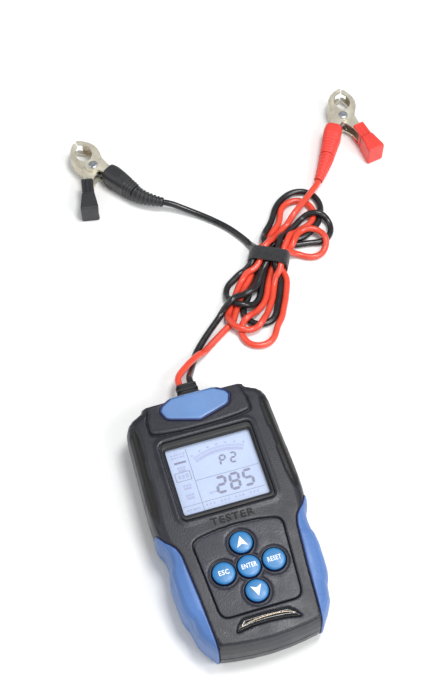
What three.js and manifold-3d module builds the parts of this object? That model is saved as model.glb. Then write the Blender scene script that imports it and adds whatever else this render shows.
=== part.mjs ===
// A handheld battery tester with two clamp leads, in millimetres, +Z up. The tester lies on its flat
// back with its cable end towards +Y, and its leads and clamps lie on the same surface, z = 0.
import * as THREE from 'three';
import { mergeVertices } from 'three/addons/utils/BufferGeometryUtils.js';
import Module from 'manifold-3d';

const wasm = await Module();
wasm.setup();

// Driving dimensions
const GAP = 0.3;
const WALL = 2.6;
const FACE_Z = 36;
const PARTING_Z = 17;
const ROOF_Z = FACE_Z - WALL;
const LCD = { y: 30.7, halfWidth: 29.8, halfHeight: 24.4 };
const KEYS = { y: -41, pitch: 17.2, radius: 7.7, top: 38.3 };
const BOARD = { bottom: 22, top: 23.6 };
const RELIEF = { z: 18, outerY: 108, halfWidth: 8.5, halfHeight: 7 };
const LEAD = { radius: 2.5, sides: 8, step: 6 };
const HANK = { x: 93.6, y: 202.7, angle: 62, base: 1.6, layer: 5.1 };
const STRAP = { width: 12.5, thickness: 1.1, halfSpan: 14.5, top: 12.6 };
const CLAMP = { z: 9, height: 18, handleLength: 29.6, handleAngle: 15, thumbAngle: 27, pin: 2 };
const CLAMPS = {
  black: { x: -14.5, y: 323, axis: 107.3, side: -1, bootTurn: 30 },
  red: { x: 193.6, y: 313.3, axis: 74.1, side: 1, bootTurn: -6 },
};
const CASE_SCREWS = [[-40, 68], [40, 68], [-28, -80], [28, -80]];
const BOARD_SCREWS = [[-41, 50], [41, 50], [-29, -66], [29, -66]];

const COLOURS = {
  shell: 0x4a4a50, grip: 0x5f88d4, cap: 0x6f98da, window: 0x16171a, lens: 0xd8e4f8, glass: 0xcfdcf5,
  light: 0xf2f4ff, rubber: 0x232427, key: 0x4192d6, badge: 0x1b1b1e, board: 0x1f6b3a, chip: 0x202124,
  ceramic: 0xdedbd0, steel: 0xb9bcc0, jaw: 0xd9d3c2, red: 0xf0553f, black: 0x222226,
};

const model = new THREE.Group();
const radians = THREE.MathUtils.degToRad;

// Geometry helpers
function toSolid(geometry) {
  const bare = geometry.clone();
  bare.deleteAttribute('normal');
  bare.deleteAttribute('uv');
  const merged = mergeVertices(bare, 1e-3);
  const vertProperties = new Float32Array(merged.attributes.position.array);
  const triVerts = new Uint32Array(merged.index.array);
  return new wasm.Manifold(new wasm.Mesh({ numProp: 3, vertProperties, triVerts }));
}

function toGeometry(solid) {
  const { vertProperties, triVerts } = solid.getMesh();
  const geometry = new THREE.BufferGeometry();
  geometry.setAttribute('position', new THREE.BufferAttribute(vertProperties, 3));
  geometry.setIndex(new THREE.BufferAttribute(triVerts, 1));
  geometry.computeVertexNormals();
  return geometry;
}

function addPart(name, shape, colour, finish = {}, parent = model) {
  const geometry = shape.isBufferGeometry ? shape : toGeometry(shape);
  const { roughness = 0.55, metalness = 0 } = finish;
  const material = new THREE.MeshStandardMaterial({ color: colour, roughness, metalness });
  const mesh = new THREE.Mesh(geometry, material);
  mesh.name = name;
  parent.add(mesh);
  return mesh;
}

// A closed skin over rings of equal point counts, with a fan over each end.
function skin(rings) {
  const count = rings[0].length;
  const points = rings.flat();
  const faces = [];
  for (let r = 0; r + 1 < rings.length; r += 1) {
    for (let i = 0; i < count; i += 1) {
      const a = r * count + i;
      const b = r * count + ((i + 1) % count);
      faces.push(a, b, b + count, a, b + count, a + count);
    }
  }
  for (const [ring, flip] of [[0, true], [rings.length - 1, false]]) {
    const centre = new THREE.Vector3();
    rings[ring].forEach((point) => centre.addScaledVector(point, 1 / count));
    points.push(centre);
    for (let i = 0; i < count; i += 1) {
      const a = ring * count + i;
      const b = ring * count + ((i + 1) % count);
      faces.push(...(flip ? [b, a] : [a, b]), points.length - 1);
    }
  }
  const geometry = new THREE.BufferGeometry().setFromPoints(points);
  geometry.setIndex(faces);
  return toSolid(geometry);
}

const flat = (pairs) => pairs.map(([x, y]) => new THREE.Vector2(x, y));

function prism(pairs, low, high, holes = []) {
  const shape = new THREE.Shape(flat(pairs));
  holes.forEach((hole) => shape.holes.push(new THREE.Path(flat(hole))));
  const geometry = new THREE.ExtrudeGeometry(shape, { depth: high - low, bevelEnabled: false });
  return toSolid(geometry.translate(0, 0, low));
}

function box(x0, x1, y0, y1, z0, z1) {
  const geometry = new THREE.BoxGeometry(x1 - x0, y1 - y0, z1 - z0);
  return toSolid(geometry.translate((x0 + x1) / 2, (y0 + y1) / 2, (z0 + z1) / 2));
}

function disc(x, y, radius, low, high, segments = 16) {
  const geometry = new THREE.CylinderGeometry(radius, radius, high - low, segments).rotateX(Math.PI / 2);
  return toSolid(geometry.translate(x, y, (low + high) / 2));
}

// A profile of [radius, height] pairs, turned about the upright axis.
function turned(profile, segments = 20) {
  return new THREE.LatheGeometry(flat(profile), segments).rotateX(Math.PI / 2);
}

function circle(x, y, radius, segments = 20) {
  return Array.from({ length: segments }, (_, i) => {
    const angle = (2 * Math.PI * i) / segments;
    return [x + radius * Math.cos(angle), y + radius * Math.sin(angle)];
  });
}

function roundedRectangle(x0, x1, y0, y1, radius, steps = 4) {
  const corners = [[x1, y1, 0], [x0, y1, 90], [x0, y0, 180], [x1, y0, 270]];
  return corners.flatMap(([x, y, start]) => Array.from({ length: steps + 1 }, (_, i) => {
    const angle = radians(start + (90 * i) / steps);
    const centreX = x - radius * Math.sign(x - (x0 + x1) / 2);
    const centreY = y - radius * Math.sign(y - (y0 + y1) / 2);
    return [centreX + radius * Math.cos(angle), centreY + radius * Math.sin(angle)];
  }));
}

const flipX = (pairs) => pairs.map(([x, y]) => [-x, y]).reverse();
const mirrored = (half) => [...half, ...flipX(half.filter(([x]) => x > 0))];
const joinAll = (solids) => solids.reduce((sum, next) => sum.add(next));

// A loft through levels of one outline. Each level is [z, side inset, top inset, bottom inset].
function lofted(half, levels) {
  const outline = mirrored(half);
  const widest = Math.max(...half.map(([x]) => x));
  const top = Math.max(...half.map(([, y]) => y));
  const bottom = Math.min(...half.map(([, y]) => y));
  const rings = levels.map(([z, side, upper, lower]) => outline.map(([x, y]) => {
    const shrinkX = (widest - side) / widest;
    const shrinkY = y > 0 ? (top - upper) / top : (bottom + lower) / bottom;
    return new THREE.Vector3(x * shrinkX, y * shrinkY, z);
  }));
  return skin(rings.map((ring) => ring.slice().reverse()));
}

// Housing outlines, right half, from the cable end to the foot
const HOUSING = [
  [0, 93], [18, 93], [34, 92.8], [37.6, 91.6], [39.8, 88.8], [43, 86.9], [46.4, 85.2],
  [49.6, 82.4],
  [51.4, 79], [52.1, 74], [52.6, 54], [53.3, 34], [53.8, 14], [53.5, 4], [52.4, -8],
  [50.8, -26], [50.2, -46], [47.6, -64], [43.6, -78], [38, -87], [34.2, -89.4], [24, -91.2],
  [12, -92.5], [0, -93],
];
const HOUSING_LEVELS = [
  [0, 6, 4.2, 4.4], [1.1, 4, 2.6, 3], [4, 1.7, 1, 1.4], [10, 0.4, 0.3, 0.3], [17, 0, 0, 0],
  [24, 0.1, 0, 0.7], [30, 1, 0.3, 1.9], [33.2, 2.4, 0.9, 2.7], [35, 4.4, 1.9, 3.1],
  [FACE_Z, 7.2, 3.4, 3.5],
];
const GRIP_SIDE = [
  [0, 10], [50, 10], [53.4, 4], [54, 0], [53.4, -5], [52, -9], [49.8, -13.4], [49.2, -19],
  [49.6, -25], [51, -29], [51.8, -34], [51.4, -46], [50.4, -56], [49.4, -60], [47.4, -64],
  [46.6, -69], [45.4, -75], [42.4, -80.6], [39.8, -84], [36.4, -89], [33.4, -90.6], [0, -91],
];
const GRIP_LEVELS = [
  [1, 4.4, 0, 3.4], [3, 1.8, 0, 1.6], [7, 0.3, 0, 0.4], [12, 0, 0, 0], [22, 0, 0, 0.4],
  [28, 0.7, 0, 1.2], [32.5, 2.3, 0, 2], [35.4, 5, 0, 2.8], [36.6, 8.6, 0, 3.6],
];
const CORE = [
  [0, 12], [49, 12], [49, 0], [46.4, -10], [45, -18], [46, -32], [45.6, -48], [43.6, -60],
  [41, -70], [36.4, -81], [31, -86.6], [0, -88],
];
const CORE_LEVELS = [[5, 1.4, 0, 1.4], [7.5, 0, 0, 0], [28, 0, 0, 0], [31, 1.4, 0, 1.4]];

// The right grip's edge on the face: round its shoulder, then straight down to the foot.
const GRIP_SHOULDER = [[53.4, 3.4], [51.6, -5], [48.6, -8.6], [45, -11], [42, -14.4]];
const GRIP_INNER = [[40.4, -18.4], [39.6, -22], [36.7, -52], [34.2, -87.6], [33.9, -98]];

// Plan of the right grip, with its edge moved towards the housing by a distance.
function gripPlan(shift) {
  const shoulder = GRIP_SHOULDER.map(([x, y]) => [x - shift, y + shift]);
  const inner = GRIP_INNER.map(([x, y]) => [x - shift, y]);
  return [[64, 3.4 + shift], ...shoulder, ...inner, [64, -98]].reverse();
}

const envelope = lofted(HOUSING, HOUSING_LEVELS);

// Levels whose loft stands outside the given one by an amount, or inside it where that is negative.
function grow(levels, amount) {
  const last = levels.length - 1;
  const lifts = levels.map((_, i) => (i === last ? amount : 0));
  lifts[0] = -amount;
  return levels.map(([z, side, upper, lower], i) => (
    [z + lifts[i], side - amount, upper - amount, lower - amount]
  ));
}

// The housing's outside, set back under the two grips, and the space inside its walls.
function makeHousing() {
  const plan = prism(gripPlan(0), -2, 40);
  const planLeft = prism(flipX(gripPlan(0)), -2, 40);
  const core = lofted(CORE, CORE_LEVELS);
  const outer = envelope.subtract(plan).subtract(planLeft).add(core);
  const hollow = lofted(HOUSING, grow(HOUSING_LEVELS, -WALL));
  const wide = prism(gripPlan(WALL), -2, 40);
  const wideLeft = prism(flipX(gripPlan(WALL)), -2, 40);
  const slab = box(-60, 60, -100, 100, WALL, ROOF_Z);
  const coreHollow = lofted(CORE, grow(CORE_LEVELS, -WALL));
  const cavity = hollow.intersect(slab).subtract(wide).subtract(wideLeft).add(coreHollow);
  return { outer, cavity };
}

const { outer: housing, cavity } = makeHousing();
const below = box(-70, 70, -110, 130, -5, PARTING_Z - GAP);
const above = box(-70, 70, -110, 130, PARTING_Z, 60);

// The raised bezel round the cable end, and the blue cap let into it
const BEZEL = mirrored([
  [0, 66], [14, 66.2], [28, 67.4], [34.6, 68.8], [36, 70.4], [35.6, 80], [33.8, 84],
  [33.4, 88.6], [31, 90.6], [0, 91],
]);
const CAP = [
  [0, 71.2], [19, 75.6], [22, 77], [24.2, 79.8], [24.6, 84], [23.2, 88], [20, 90.6], [10, 91.6],
  [0, 91.8],
];
const capPlan = (extra) => mirrored(CAP.map(([x, y]) => {
  const outward = y > 82 ? 1 : -1;
  return [x > 0 ? x + extra : 0, y + outward * extra];
}));

function capSolid(extra) {
  const lip = box(-17 - extra, 17 + extra, 90 - extra, 93.2 + extra, 25.1 - extra, 36);
  return prism(capPlan(extra), 34.6 - extra, 38.2 + 4 * extra).add(lip);
}

const KEY_PLATE = mirrored([
  [0, -10.6], [14, -11.4], [26, -13.3], [29.4, -15], [30.8, -18.4], [27.4, -65.2],
  [25.8, -68.4], [22.6, -69.8], [0, -69.8],
]);
const grownOutline = (pairs, centreY, extra) => pairs.map(([x, y]) => {
  const length = Math.hypot(x, y - centreY);
  return [x + (extra * x) / length, y + (extra * (y - centreY)) / length];
});
const BADGE = [
  [-19.7, -79.8], [-17.6, -76.4], [-14.5, -73.9], [0, -73.7], [15.5, -74.7], [19, -77.6],
  [21.9, -81.5], [12, -79.6], [0, -78.7], [-10, -78.9],
].reverse();
const keyPlaces = {
  key_enter: [0, KEYS.y],
  key_up: [0, KEYS.y + KEYS.pitch],
  key_down: [0, KEYS.y - KEYS.pitch],
  key_escape: [-KEYS.pitch, KEYS.y],
  key_reset: [KEYS.pitch, KEYS.y],
};
const windowRecess = roundedRectangle(-32.9, 32.9, 1.7, 61.2, 4);
const windowOpening = roundedRectangle(-30.8, 30.8, 5.2, 56.2, 2);
const reliefOpening = box(-8.5, 8.5, 84, 96, 11, 25);

function makeFrontShell() {
  const chamfer = lofted(HOUSING, [[29, 1, 0.4, 2], [38, 3.4, 2.2, 3]]);
  const bezel = prism(BEZEL, 30, 37.5).intersect(chamfer);
  const posts = [
    ...CASE_SCREWS.map(([x, y]) => disc(x, y, 3.2, PARTING_Z, ROOF_Z + 0.5)),
    ...BOARD_SCREWS.map(([x, y]) => disc(x, y, 2.7, BOARD.top + GAP, ROOF_Z + 0.5)),
  ];
  let shell = housing.add(bezel).subtract(cavity).intersect(above);
  shell = shell.add(joinAll(posts));
  const cuts = [
    prism(windowRecess, 33.3, 40),
    prism(windowOpening, 30, 40),
    prism(grownOutline(KEY_PLATE, KEYS.y, GAP), 34.6, 40),
    prism(grownOutline(BADGE, -77.4, GAP), 35.4, 40),
    capSolid(GAP),
    reliefOpening,
    ...Object.values(keyPlaces).map(([x, y]) => disc(x, y, KEYS.radius + 0.4, 30, 40)),
    ...CASE_SCREWS.map(([x, y]) => disc(x, y, 1.5, 10, 27, 12)),
    ...BOARD_SCREWS.map(([x, y]) => disc(x, y, 1.3, 20, 30, 12)),
  ];
  return shell.subtract(joinAll(cuts));
}

function makeRearShell() {
  const bosses = CASE_SCREWS.map(([x, y]) => disc(x, y, 4.4, 1, PARTING_Z - GAP));
  const heads = CASE_SCREWS.map(([x, y]) => disc(x, y, 3.2, -2, 9));
  const shanks = CASE_SCREWS.map(([x, y]) => disc(x, y, 1.8, 5, 20, 12));
  const saddle = box(-15, 15, 72, 78, 1, 10);
  const screwHoles = [-11, 11].map((x) => disc(x, 75, 1.5, 3, 12, 12));
  const shell = housing.subtract(cavity).intersect(below).add(joinAll([...bosses, saddle]));
  return shell.subtract(joinAll([...heads, ...shanks, ...screwHoles, reliefOpening]));
}

function makeGrip(side) {
  const solidGrip = lofted(GRIP_SIDE, GRIP_LEVELS);
  const region = prism(gripPlan(-GAP), -2, 40);
  const half = solidGrip.intersect(region).subtract(lofted(CORE, grow(CORE_LEVELS, GAP)));
  return side > 0 ? half : half.mirror([1, 0, 0]);
}

function addShells() {
  addPart('front_shell', makeFrontShell(), COLOURS.shell);
  addPart('rear_shell', makeRearShell(), COLOURS.shell);
  addPart('grip_right', makeGrip(1), COLOURS.grip, { roughness: 0.6 });
  addPart('grip_left', makeGrip(-1), COLOURS.grip, { roughness: 0.6 });
  addPart('cable_cap', capSolid(0), COLOURS.cap, { roughness: 0.45 });
  addPart('badge', prism(BADGE, 35.7, 36.8), COLOURS.badge, { roughness: 0.15 });
}

function addDisplay() {
  const { y, halfWidth, halfHeight } = LCD;
  const sight = roundedRectangle(-halfWidth, halfWidth, y - halfHeight, y + halfHeight, 1);
  const rim = roundedRectangle(-32.6, 32.6, 2, 60.9, 3.7);
  addPart('display_frame', prism(rim, 33.6, 35.6, [sight]), COLOURS.window, { roughness: 0.3 });
  const lens = roundedRectangle(-30.5, 30.5, 5.5, 55.9, 1.7);
  addPart('display_window', prism(lens, 32.1, 33.3), COLOURS.lens, { roughness: 0.05 });
  const glass = box(-33, 33, y - 31.4, y + 31.4, 29.4, 31.4);
  addPart('display_glass', glass, COLOURS.glass, { roughness: 0.1 });
  addPart('backlight', box(-32, 32, y - 27.6, y + 27.6, 25.6, 29.1), COLOURS.light);
  for (const [name, middle] of [['upper', y + 29.6], ['lower', y - 29.6]]) {
    const strip = box(-28, 28, middle - 1.2, middle + 1.2, BOARD.top + GAP, 29.1);
    addPart(`contact_strip_${name}`, strip, COLOURS.rubber);
  }
}

function addKeypad() {
  const holes = Object.values(keyPlaces).map(([x, y]) => circle(x, y, KEYS.radius + 0.6));
  addPart('keypad_plate', prism(KEY_PLATE, 34.9, 36.4, holes), COLOURS.shell);
  const sheet = box(-25.8, 25.8, KEYS.y - 26, KEYS.y + 26, BOARD.top + GAP, 25.4);
  const domes = Object.values(keyPlaces).map(([x, y]) => disc(x, y, 4.6, 25, 29.2, 16));
  addPart('keypad_mat', joinAll([sheet, ...domes]), COLOURS.rubber, { roughness: 0.7 });
  const r = KEYS.radius;
  const profile = [
    [0, 30.9], [r + 0.7, 30.9], [r + 0.7, 32.9], [r, 32.9], [r, 37], [r - 0.3, 37.6],
    [r - 1, 38], [r - 3, 38.2], [0, KEYS.top],
  ];
  for (const [name, [x, y]] of Object.entries(keyPlaces)) {
    addPart(name, turned(profile).translate(x, y, 0), COLOURS.key, { roughness: 0.35 });
  }
}

function addElectronics() {
  const outline = mirrored([[0, 58], [45, 58], [45, 8], [32, -3], [32, -72], [0, -72]]);
  const holes = BOARD_SCREWS.map(([x, y]) => circle(x, y, 1.5, 12));
  addPart('main_board', prism(outline, BOARD.bottom, BOARD.top, holes), COLOURS.board);
  const seat = BOARD.bottom - GAP;
  addPart('processor', box(-7, 7, 6, 20, seat - 1.6, seat), COLOURS.chip);
  addPart('load_resistor', box(-19, 19, -36, -26, seat - 9.5, seat), COLOURS.ceramic);
  const can = new THREE.CylinderGeometry(4.8, 4.8, 16, 24).rotateZ(Math.PI / 2);
  addPart('capacitor', can.translate(20, 40, seat - 4.8), COLOURS.chip);
  addPart('buzzer', disc(-22, -8, 6, seat - 8, seat), COLOURS.chip);
}

function addScrew(name, profile, x, y) {
  addPart(name, turned(profile, 12).translate(x, y, 0), COLOURS.steel, { metalness: 1 });
}

function addScrews() {
  const long = [[0, 6.4], [2.9, 6.4], [2.9, 8.7], [1.2, 8.7], [1.2, 26], [0, 26]];
  CASE_SCREWS.forEach(([x, y], i) => addScrew(`case_screw_${i + 1}`, long, x, y));
  const seat = BOARD.bottom - GAP;
  const short = [[0, seat - 1.3], [2.3, seat - 1.3], [2.3, seat], [1, seat], [1, 29], [0, 29]];
  BOARD_SCREWS.forEach(([x, y], i) => addScrew(`board_screw_${i + 1}`, short, x, y));
}

// The moulded strain relief: a flange inside the wall, a neck, and a ribbed sleeve outside.
function addStrainRelief() {
  const { z, outerY, halfWidth, halfHeight } = RELIEF;
  const sleeve = { x: halfWidth - 1.7, z: halfHeight - 1.5 };
  const pieces = [
    box(-10.6, 10.6, 86.6, 89.6, z - 7.6, z + 7),
    box(-8.2, 8.2, 89, 94, z - 6.7, z + 6.7),
    box(-sleeve.x, sleeve.x, 93, outerY, z - sleeve.z, z + sleeve.z),
  ];
  for (let rib = 0; rib < 4; rib += 1) {
    const start = 94 + rib * 4;
    pieces.push(box(-halfWidth, halfWidth, start, start + 2, z - halfHeight, z + halfHeight - 0.2));
  }
  addPart('strain_relief', joinAll(pieces), COLOURS.rubber, { roughness: 0.7 });
}

// The bar that clamps the two wires inside the housing, and its screws
function addWireClamp() {
  const holes = [-11, 11].map((x) => disc(x, 75, 1.8, 10, 20, 12));
  const bar = box(-15, 15, 72, 78, 15.9, 17.9).subtract(joinAll(holes));
  addPart('wire_clamp_bar', bar, COLOURS.chip);
  const screw = [[0, 5], [1.2, 5], [1.2, 18.2], [2.6, 18.2], [2.6, 20], [0, 20]];
  [-11, 11].forEach((x, i) => addScrew(`wire_clamp_screw_${i + 1}`, screw, x, 75));
}

// The wires from the strain relief, under the bar and up to the board
function addInnerWires() {
  for (const [name, side] of [['red', -1], ['black', 1]]) {
    const path = [
      [side * 4.2, 86, RELIEF.z], [side * 4.2, 84, 17.4], [side * 4.2, 79.6, 13.4],
      [side * 4.2, 74, 12.8], [side * 4.6, 68, 13.2], [side * 5.6, 60, 16], [side * 7, 53, 18.6],
      [side * 7, 48, 19],
    ];
    addPart(`inner_wire_${name}`, tube(path, 2.4), COLOURS[name]);
  }
}

// Leads
function tube(route, radius, step = LEAD.step) {
  const path = new THREE.CatmullRomCurve3(route.map((point) => new THREE.Vector3(...point)));
  const section = new THREE.Shape(flat(circle(0, 0, radius, LEAD.sides)));
  const steps = Math.max(2, Math.round(path.getLength() / step));
  return new THREE.ExtrudeGeometry(section, { steps, extrudePath: path, bevelEnabled: false });
}

// A point of the bundle, u along it and v across it, in plan.
function onHank(u, v) {
  const angle = radians(HANK.angle);
  const x = HANK.x + u * Math.cos(angle) + v * Math.sin(angle);
  return [x, HANK.y + u * Math.sin(angle) - v * Math.cos(angle)];
}

const RED_ENTRY = [
  [-4.2, RELIEF.outerY + GAP, RELIEF.z], [-4.2, 112, 17.9], [-1.2, 118, 15.8], [5, 125, 12.6],
  [11.5, 132, 10], [17.6, 137.2, 8.5], [24, 141.4, 6.4], [31, 145.2, 4.4], [38, 149.8, 4],
  [44, 155, 6.2], [49.4, 161.2, 9],
];
const BLACK_ENTRY = [
  [4.2, RELIEF.outerY + GAP, RELIEF.z], [4.2, 111, 17.8], [5.4, 115, 15.8], [10.4, 124, 7.8],
  [13.4, 129.6, 4], [16.2, 135.6, 2.6], [19.4, 142, 2.55], [25, 149.6, 2.55], [33.7, 157.4, 2.55],
  [42.5, 163, 2.6], [51, 166.6, 2.7],
];
const RED_EXIT = [[144.4, 248.8, 9.2], [148, 252.6, 9.1], [151.6, 256.9, 9], [154.1, 260.2, 9]];
const BLACK_EXIT = [
  [87.2, 218.4, 3.6], [83.4, 223.6, 2.8], [78.2, 232.2, 2.6], [70.2, 243, 2.6], [61, 252.2, 2.8],
  [50.6, 262.6, 4.6], [41.4, 270, 7.4], [35, 273.9, 8.9], [30.7, 276.1, 9],
];
// The bundle's outline about the strap: [along the bundle, across it].
const HANK_OUTLINE = [
  [10, -13.9], [-10, -13.9], [-26, -16.5], [-44, -20.5], [-53, -20], [-60, -15], [-70, -11], [-77, -4],
  [-79, 4], [-75, 13], [-64, 17.5], [-40, 17], [-20, 14.8], [-10, 13.9], [10, 13.9], [24, 23], [38, 36],
  [48, 42.5], [54, 41], [57, 36], [66, 33], [73, 25], [77, 14], [73, 3], [63, -5], [40, -7], [22, -9],
];

// One layer of the bundle, grooved where the leads' ends run into it.
function hankLayer(index, routes) {
  const low = HANK.base + index * (HANK.layer + GAP);
  const outline = HANK_OUTLINE.map(([u, v]) => onHank(u, v));
  const grooves = routes.map((route) => toSolid(tube(route, LEAD.radius + GAP)));
  return prism(outline, low, low + HANK.layer).subtract(joinAll(grooves));
}

// Each lead's route ends a short way inside its hank layer, in a groove that clears it.
function addLeads() {
  const soft = { roughness: 0.45 };
  addPart('red_lead_entry', tube(RED_ENTRY, LEAD.radius), COLOURS.red, soft);
  addPart('black_lead_entry', tube(BLACK_ENTRY, LEAD.radius), COLOURS.black, soft);
  addPart('red_lead_exit', tube(RED_EXIT, LEAD.radius, 4), COLOURS.red, soft);
  addPart('black_lead_exit', tube(BLACK_EXIT, LEAD.radius), COLOURS.black, soft);
  const all = [RED_ENTRY, BLACK_ENTRY, RED_EXIT, BLACK_EXIT];
  addPart('black_lead_hank', hankLayer(0, all), COLOURS.black, soft);
  addPart('red_lead_hank', hankLayer(1, all), COLOURS.red, soft);
}

function addStrap() {
  const { width, thickness, halfSpan, top } = STRAP;
  const outer = halfSpan + thickness;
  const inner = roundedRectangle(-halfSpan, halfSpan, thickness, top, 1.2);
  const shape = new THREE.Shape(flat(roundedRectangle(-outer, outer, 0, top + thickness, 1.2 + thickness)));
  shape.holes.push(new THREE.Path(flat(inner)));
  const ring = new THREE.ExtrudeGeometry(shape, { depth: width, bevelEnabled: false });
  ring.translate(0, 0, -width / 2).rotateX(Math.PI / 2).rotateZ(radians(HANK.angle - 90));
  addPart('strap', ring.translate(HANK.x, HANK.y, 0), COLOURS.black, { roughness: 0.9 });
}

// Clamps. Each lies on its side with its pivot upright and its jaws along its own +X; side is the
// side of the handle that the lead runs into.
const RING_POINTS = 14;
const SQUARENESS = 0.62;

// Rounded-square rings along a path, each at [fraction of the path, width, height].
function ringsAlong(path, sections) {
  const bulge = (value) => Math.sign(value) * Math.abs(value) ** SQUARENESS;
  return sections.map(([along, width, height]) => {
    const centre = path.getPointAt(along);
    const tangent = path.getTangentAt(along);
    const across = new THREE.Vector3(-tangent.y, tangent.x, 0);
    return Array.from({ length: RING_POINTS }, (_, i) => {
      const angle = (2 * Math.PI * i) / RING_POINTS;
      const point = centre.clone().addScaledVector(across, (width / 2) * bulge(Math.cos(angle)));
      point.z += (height / 2) * bulge(Math.sin(angle));
      return point;
    });
  });
}

function heading(degrees) {
  return new THREE.Vector3(Math.cos(radians(degrees)), Math.sin(radians(degrees)), 0);
}

// A U-shaped sheet-metal jaw: two parallel cheeks and the web that joins their outer edges.
function jaw(outline, web, low, high, side) {
  const place = (pairs) => (side > 0 ? pairs : pairs.map(([x, y]) => [x, -y]).reverse());
  const hole = disc(0, 0, CLAMP.pin + GAP, low - 1, high + 1, 16);
  const cheeks = [prism(place(outline), low, low + 1.2), prism(place(outline), high - 1.2, high)];
  return joinAll([...cheeks, prism(place(web), low, high)]).subtract(hole);
}

const JAW_FRONT = [
  [2, 9.5], [7, 10.8], [12, 11.5], [17, 10.9], [21, 9], [25, 5.8], [28, 2.4], [28, 0.4], [24.5, 0.4],
  [22.2, 3.8], [19, 6.1], [15, 6.9], [11.6, 6.2], [9, 4.4], [6.4, 1.2], [5.6, -3.4],
  [3.2, -5.8], [0, -6.6], [-3.2, -5.8], [-5.6, -3.4],
];
const WEB_FRONT = [[2, 9.5], [7, 10.8], [12, 11.5], [17, 10.9], [21, 9], [25, 5.8]];
const WEB_BACK = WEB_FRONT.map(([x, y]) => [x, y - 1.3]).reverse();
// The jaws' tails inside the plastic: the edge on the outside of the bend and the one inside it
const tangs = {
  cable: { outer: [[-21.6, 14.4], [-6, 10.2]], inner: [[-6.4, 1], [-12, 4.4], [-23.4, 7.8]] },
  thumb: { outer: [[-18.3, 19.9], [-6, 12.5]], inner: [[-7, 1.6], [-12, 8], [-21.3, 13.9]] },
};
const jawOutline = ({ outer, inner }) => [...outer, ...JAW_FRONT, ...inner].reverse();
const jawWeb = ({ outer }) => [
  ...outer, ...WEB_FRONT, ...WEB_BACK, ...outer.map(([x, y]) => [x - 0.3, y - 1.3]).reverse(),
].reverse();

// The pocket in the plastic that a tail slides into, a little larger all round.
function tangPocket({ outer, inner }, side, low, high) {
  const [outerEnd, outerStart] = outer;
  const [, innerStart, innerEnd] = inner;
  const grown = [
    [outerEnd[0] - 1.2, outerEnd[1] + 0.6], [outerStart[0] + 1, outerStart[1] + 0.6],
    [innerStart[0] + 6, innerStart[1] - 2.2], [innerStart[0], innerStart[1] - 0.5],
    [innerEnd[0] - 1.2, innerEnd[1] - 0.5],
  ];
  const pairs = side > 0 ? grown.slice().reverse() : grown.map(([x, y]) => [x, -y]);
  return prism(pairs, low, high);
}

function clampPaths({ side, bootTurn }) {
  const handle = heading(180 - side * CLAMP.handleAngle);
  const thumb = heading(180 + side * CLAMP.thumbAngle);
  const handleStart = new THREE.Vector3(-9, side * 7.5, CLAMP.z);
  const handleEnd = handleStart.clone().addScaledVector(handle, CLAMP.handleLength);
  const boot = heading(180 - side * CLAMP.handleAngle + bootTurn);
  const bootStart = handleEnd.clone().addScaledVector(handle, GAP);
  const bootMiddle = bootStart.clone().addScaledVector(handle, 9);
  const bootEnd = bootMiddle.clone().addScaledVector(boot, 16);
  const thumbStart = new THREE.Vector3(-9.1, -side * 11.5, CLAMP.z);
  const thumbEnd = thumbStart.clone().addScaledVector(thumb, 30);
  return {
    handle: new THREE.LineCurve3(handleStart, handleEnd),
    boot: new THREE.QuadraticBezierCurve3(bootStart, bootMiddle, bootEnd),
    thumb: new THREE.LineCurve3(thumbStart, thumbEnd),
  };
}

function bootSections() {
  const sections = [[0, 11.6, 14.4]];
  const ribs = 5;
  for (let rib = 0; rib < ribs; rib += 1) {
    const width = 11 - rib;
    const height = 13.6 - rib * 1.45;
    for (const [offset, step] of [[0, 0], [0.02, 1.2], [0.1, 1.2], [0.12, 0]]) {
      sections.push([0.06 + rib * 0.18 + offset, width + step, height + step]);
    }
  }
  return [...sections, [1, 6.6, 7.4]];
}

// Three turns of wire round the pin, with a straight leg at each end.
function springCoil() {
  const coil = { radius: 4.3, bottom: 6.4, height: 5.2, steps: 36 };
  const points = [[-7.2, -3.4, coil.bottom]];
  for (let i = 0; i <= coil.steps; i += 1) {
    const angle = radians(200 + i * 30);
    const z = coil.bottom + (i * coil.height) / coil.steps;
    points.push([coil.radius * Math.cos(angle), coil.radius * Math.sin(angle), z]);
  }
  points.push([-7.2, 3.6, coil.bottom + coil.height]);
  const path = new THREE.CatmullRomCurve3(points.map((point) => new THREE.Vector3(...point)));
  const section = new THREE.Shape(flat(circle(0, 0, 0.7, 5)));
  return new THREE.ExtrudeGeometry(section, { steps: 44, extrudePath: path, bevelEnabled: false });
}

const HIGH = CLAMP.height;
const HANDLE_SECTIONS = [
  [0, 9.6, HIGH - 1.6], [0.06, 11, HIGH], [0.5, 12.2, HIGH], [0.85, 11.8, HIGH - 1],
  [1, 11.2, HIGH - 3.6],
];
const LEVER_SECTIONS = [
  [0, 8.6, HIGH - 1.6], [0.06, 10, HIGH], [0.55, 10.4, HIGH], [0.9, 14.2, HIGH],
  [1, 13, HIGH - 2],
];
const PIN_PROFILE = [
  [0, 0.9], [3.6, 0.9], [3.6, 1.9], [CLAMP.pin, 1.9], [CLAMP.pin, 16.1], [3.6, 16.1],
  [3.6, 17.1], [0, 17.1],
];

function addClampGrips(clamp, place) {
  const { side } = clamp;
  const paths = clampPaths(clamp);
  const handle = skin(ringsAlong(paths.handle, HANDLE_SECTIONS));
  const lever = skin(ringsAlong(paths.thumb, LEVER_SECTIONS));
  const boot = skin(ringsAlong(paths.boot, bootSections()));
  place('handle', handle.subtract(tangPocket(tangs.cable, side, 1.9, 16.1)));
  place('thumb_lever', lever.subtract(tangPocket(tangs.thumb, -side, 3.5, 14.5)));
  place('boot', boot, { roughness: 0.6 });
}

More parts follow.
